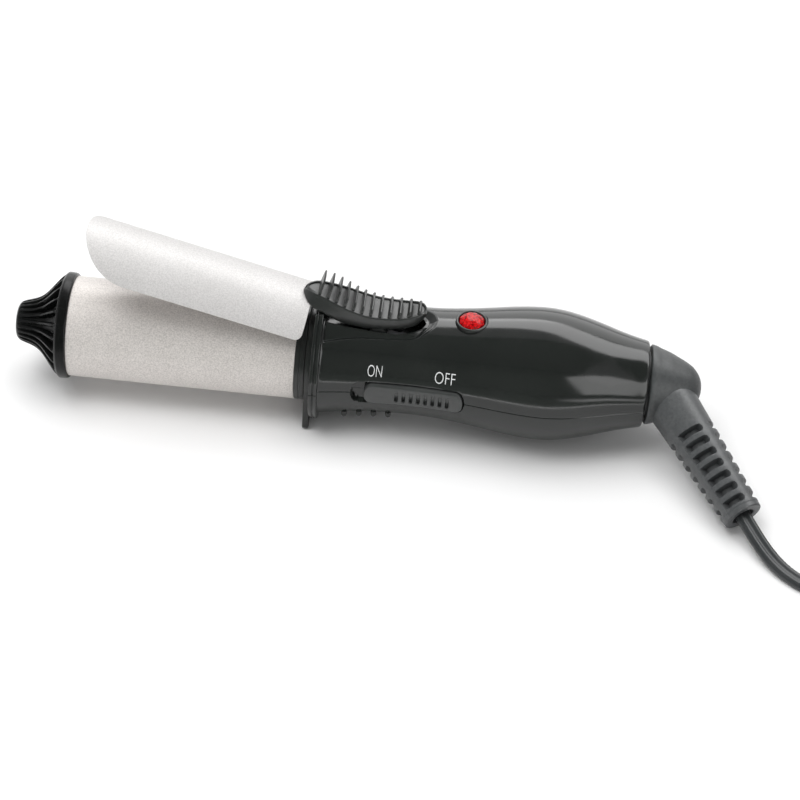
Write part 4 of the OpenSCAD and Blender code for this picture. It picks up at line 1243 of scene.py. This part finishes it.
def make_lens():
    """Cut lens: a flat table, kite and triangle facets, and a short wall."""
    n = 10
    cx, cy = 43.8, 0.0
    rings = []
    spec = [(1.75, 20.28, 0.0), (2.75, 19.92, 0.5), (3.55, 19.35, 0.0), (4.05, 18.75, 0.5)]
    for r, z, off in spec:
        rings.append([(cx + r * math.cos(2 * math.pi * (k + off) / n), cy + r * math.sin(2 * math.pi * (k + off) / n), AZ + z) for k in range(n)])
    verts = [(cx, cy, AZ + 20.3)] + [p for r in rings for p in r]
    f = []

    def vid(i, k):
        return 1 + i * n + k % n

    for k in range(n):
        f.append((0, vid(0, k), vid(0, k + 1)))
        # ring 0 to ring 1 (offset half a step)
        f.append((vid(0, k), vid(1, k), vid(0, k + 1)))
        f.append((vid(1, k), vid(1, k + 1), vid(0, k + 1)))
        # ring 1 to ring 2
        f.append((vid(1, k), vid(2, k + 1), vid(1, k + 1)))
        f.append((vid(1, k), vid(2, k), vid(2, k + 1)))
        # ring 2 to ring 3
        f.append((vid(2, k), vid(3, k), vid(2, k + 1)))
        f.append((vid(3, k), vid(3, k + 1), vid(2, k + 1)))
    base = len(verts)
    verts += [(cx + 4.05 * math.cos(2 * math.pi * (k + 0.5) / n), cy + 4.05 * math.sin(2 * math.pi * (k + 0.5) / n), AZ + 14.5) for k in range(n)]
    for k in range(n):
        f.append((vid(3, k), base + k, base + (k + 1) % n, vid(3, k + 1)))
    f.append(tuple(base + k for k in range(n - 1, -1, -1)))
    return mesh_obj("lens", verts, f)


done(make_lens(), "red_lamp_lens", "handle", ("lamp_lens",), MAT["red_lens"], flat=True)

# ------------------------------------------------------------------ swivel elbow and strain relief
elb = smooth_pts([(101.3, 12.3), (101.8, 12.75), (103.2, 12.45), (104.8, 11.8), (107.5, 10.9), (110.1, 9.7), (112.8, 8.4), (115.2, 6.9), (117.2, 4.6), (118.2, 2.2), (118.4, 0.0)], 8)
elb = [(x, max(r, 0)) for x, r in elb]
elb[-1] = (118.4, 0)
# a low ring on its face closes the sight line through the swivel's gap
elb = [(103.9, 6.05), (100.72, 6.05), (100.62, 6.15), (100.62, 10.25), (100.72, 10.38), (101.3, 10.4), (101.3, 12.0)] + [(max(x, 101.3), r) for x, r in elb]
elb = [(103.9, 0)] + elb


def make_elbow():
    ob = lathe("elbow", elb, 160)
    bm = bmesh.new()
    bm.from_mesh(ob.data)
    # fine mould line round the middle
    for v in bm.verts:
        y, z = v.co.y, v.co.z - AZ
        r = math.hypot(y, z)
        if r > 6.3 and v.co.x > 101.35:
            arc = abs(math.asin(max(-1, min(1, z / r)))) * r
            k = 1 + 0.05 * math.exp(-((arc / 0.18) ** 2)) / r
            v.co.y, v.co.z = y * k, AZ + z * k
    bm.to_mesh(ob.data)
    bm.free()
    return ob


elbow_ob = done(make_elbow(), "cord_elbow", "swivel", ("swivel_elbow",), MAT["elbow_plastic"], angle=40)

B_O = np.array([105.4, 0, AZ])
B_D = np.array([0.541, -0.794, -0.278])
B_D = B_D / np.linalg.norm(B_D)
_az, _pol = math.atan2(B_D[1], B_D[0]), math.acos(B_D[2])
B_UP = -np.array([math.cos(_pol) * math.cos(_az), math.cos(_pol) * math.sin(_az), -math.sin(_pol)])
B_SIDE = np.array([-math.sin(_az), math.cos(_az), 0])
T0, T1 = 12.6, 51.4


def make_boot():
    """Strain relief: a tapered tube with four rows of rounded flex slots."""
    n = 300
    ph = 2 * math.pi * np.arange(n) / n
    # stations: the rounded root, then evenly along the tube
    rows = []
    tb, rb = 8.2, 8 + 1.7 * (12.6 - 8.2) / 38.8
    for a in np.linspace(3, 88, 18):
        aa = math.radians(a)
        rows.append((tb - rb * math.cos(aa), rb * math.sin(aa)))
    ts = np.arange(tb, T1 - 0.5, 0.17)
    rows += [(t, 8 + (6.3 - 8) * (t - T0) / (T1 - T0)) for t in ts]
    rows += [(T1 - 0.42, 6.33), (T1 - 0.2, 6.24), (T1 - 0.06, 6.08), (T1, 5.85)]
    verts = []
    centres = [math.radians(c) for c in (-30.5, 59.5, 149.5, -120.5)]
    for t, r in rows:
        rr = np.full(n, r)
        if t > 18.5 and t < T1 - 1.5:
            for i in range(7):
                tc = 21.4 + 4.33 * i
                dt = t - tc
                if abs(dt) > 2.2:
                    continue
                for c in centres:
                    dphi = (ph - c + math.pi) % (2 * math.pi) - math.pi
                    hw, hl = 1.13, math.radians(32) * r
                    u = dphi * r
                    # stadium: straight at one end, round at the other
                    ux = np.where(u > hl - hw, u - (hl - hw), np.where(u < -(hl - 0.35), u + (hl - 0.35), 0))
                    rad = np.where(u > 0, hw, hw)
                    dist = np.hypot(ux * np.where(u < 0, hw / 0.35, 1.0), dt)
                    k = 1 - step(rad - 0.16, rad + 0.16, dist)
                    rr = np.minimum(rr, r - 2.8 * k)
            # swelling of each rib between the slots
            f = (t - 21.4) / 4.33
            rr = rr + 0.10 * (0.5 - 0.5 * math.cos(2 * math.pi * f)) * (1.0 if 0 < f < 6.5 else 0)
        # mould line on both sides
        for c in (math.radians(-66), math.radians(114)):
            dphi = (ph - c + math.pi) % (2 * math.pi) - math.pi
            if t > T0:
                rr = rr + 0.07 * np.exp(-((dphi * r / 0.14) ** 2))
        for k in range(n):
            verts.append(B_O + B_D * t + rr[k] * (math.cos(ph[k]) * B_UP + math.sin(ph[k]) * B_SIDE))
    # end face, with the mouth that the cord comes out of
    for t, r in ((T1 + 0.0, 5.4), (T1 + 0.0, 4.4), (T1 - 0.03, 3.85), (T1 - 0.15, 3.62), (T1 - 0.8, 3.5), (T1 - 2.2, 3.2)):
        for k in range(n):
            # the mouth stays round: q is 1 for every ring
            c, s_ = math.cos(ph[k]), math.sin(ph[k])
            q = 1.0
            if r < 4:
                q = 1.0
            verts.append(B_O + B_D * t + r * q * (c * B_UP + s_ * B_SIDE))
    m = len(rows) + 6
    faces = grid_faces(m, n, closed_v=True)
    c0, c1 = len(verts), len(verts) + 1
    verts += [B_O + B_D * (tb - rb), B_O + B_D * (T1 - 2.2)]
    faces += [(c0, k, (k + 1) % n) for k in range(n)]
    faces += [(c1, (m - 1) * n + (k + 1) % n, (m - 1) * n + k) for k in range(n)]
    return mesh_obj("boot", verts, faces)


boot_ob = done(make_boot(), "strain_relief", "swivel", ("cord_boot",), MAT["boot_rubber"], angle=50)


# ------------------------------------------------------------------ floor, light
def stage_plane(name, corners, mat):
    me = bpy.data.meshes.new(name)
    me.from_pydata(corners, [], [tuple(range(len(corners)))])
    me.materials.append(mat)
    ob = bpy.data.objects.new(name, me)
    scene.collection.objects.link(ob)
    return ob


def floor_material():
    m, nt, b = tree_of("pale_floor")
    v = coords(nt)
    nt.links.new(ramp(nt, noise(nt, v, 6, 3, 0.5), [(0.3, (0.84, 0.84, 0.84)), (0.7, (0.87, 0.87, 0.87))]), b.inputs["Base Color"])
    b.inputs["Roughness"].default_value = 0.75
    b.inputs["Specular IOR Level"].default_value = 0.15
    return m


stage_plane("floor", [(-6, -6, 0), (6, -6, 0), (6, 6, 0), (-6, 6, 0)], floor_material())


def area(name, loc, target, size, power, color=(1, 1, 1), size_y=None):
    la = bpy.data.lights.new(name, "AREA")
    la.energy = power
    la.color = color
    la.shape = "RECTANGLE" if size_y else "SQUARE"
    la.size = size
    if size_y:
        la.size_y = size_y
    ob = bpy.data.objects.new(name, la)
    scene.collection.objects.link(ob)
    ob.location = loc
    ob.rotation_euler = (Vector(target) - Vector(loc)).to_track_quat("-Z", "Y").to_euler()
    ob.visible_camera = False
    return ob


world = bpy.data.worlds.new("world")
scene.world = world
world.use_nodes = True
bg = world.node_tree.nodes.get("Background") or world.node_tree.nodes.new("ShaderNodeBackground")
bg.inputs["Color"].default_value = (1, 1, 1, 1)
bg.inputs["Strength"].default_value = 0.48

back = area("back_softbox", (0.06, 1.15, 0.46), (0.03, 0, 0.03), 1.7, 5.5, size_y=0.80)
back.visible_diffuse = False
top = area("overhead_softbox", (-0.10, 0.16, 1.22), (0.0, 0, 0.02), 1.1, 12)
top.visible_glossy = False
key = area("front_left_softbox", (-0.45, -0.35, 1.1), (-0.03, 0, 0.02), 0.5, 4)
key.visible_glossy = False
side = area("right_softbox", (0.60, -0.50, 0.30), (0.08, 0, 0.02), 0.46, 1.6, size_y=0.44)
side.visible_diffuse = False
high = area("high_back_softbox", (0.45, 0.75, 1.05), (0.07, 0, 0.02), 2.0, 16, size_y=0.64)
high.visible_diffuse = False


def card(name, corners, tone):
    """A dark card that only shows as a reflection: it shapes the gloss of the handle's side."""
    m, nt, b = tree_of(name)
    v = coords(nt)
    nt.links.new(ramp(nt, noise(nt, v, 3, 2, 0.5), [(0.3, tuple(tone * c for c in (0.9, 1.0, 0.92))), (0.7, tuple(tone * 1.1 * c for c in (0.9, 1.0, 0.92)))]), b.inputs["Base Color"])
    b.inputs["Roughness"].default_value = 0.9
    b.inputs["Specular IOR Level"].default_value = 0.0
    me = bpy.data.meshes.new(name)
    me.from_pydata(corners, [], [tuple(range(len(corners)))])
    me.materials.append(m)
    ob = bpy.data.objects.new(name, me)
    scene.collection.objects.link(ob)
    ob.visible_camera = False
    ob.visible_diffuse = False
    ob.visible_shadow = False
    ob.visible_transmission = False


def lit_strip(name, corners, strength):
    m, nt, b = tree_of(name)
    v = coords(nt)
    nt.links.new(ramp(nt, noise(nt, v, 14, 3, 0.6), [(0.3, 0.55), (0.7, 1.0)]), b.inputs["Emission Color"])
    b.inputs["Emission Strength"].default_value = strength
    b.inputs["Base Color"].default_value = (0.8, 0.8, 0.8, 1)
    me = bpy.data.meshes.new(name)
    me.from_pydata(corners, [], [tuple(range(len(corners)))])
    me.materials.append(m)
    ob = bpy.data.objects.new(name, me)
    scene.collection.objects.link(ob)
    ob.visible_camera = False
    ob.visible_diffuse = False
    ob.visible_shadow = False
    ob.visible_transmission = False


lit_strip("front_lit_strip", [(-0.02, -0.0885, 0.002), (0.3, -0.0885, 0.002), (0.3, -0.0820, 0.002), (-0.02, -0.0820, 0.002)], 5.0)
lit_strip("right_floor_strip", [(0.17, -0.42, 0.002), (0.45, -0.42, 0.002), (0.45, -0.17, 0.002), (0.17, -0.17, 0.002)], 2.0)
card("front_card", [(-0.9, -0.90, 0.0015), (0.9, -0.90, 0.0015), (0.9, -0.082, 0.0015), (-0.9, -0.082, 0.0015)], 0.28)
card("front_wall_card", [(-1.1, -1.0, 0.0015), (1.1, -1.0, 0.0015), (1.1, -1.3, 1.35), (-1.1, -1.3, 1.35)], 0.28)
card("ceiling_card", [(-1.1, -1.3, 1.35), (1.1, -1.3, 1.35), (1.1, 0.30, 1.5), (-1.1, 0.30, 1.5)], 0.28)

scene.view_settings.view_transform = "Standard"
scene.view_settings.look = "None"
scene.view_settings.exposure = 0.0
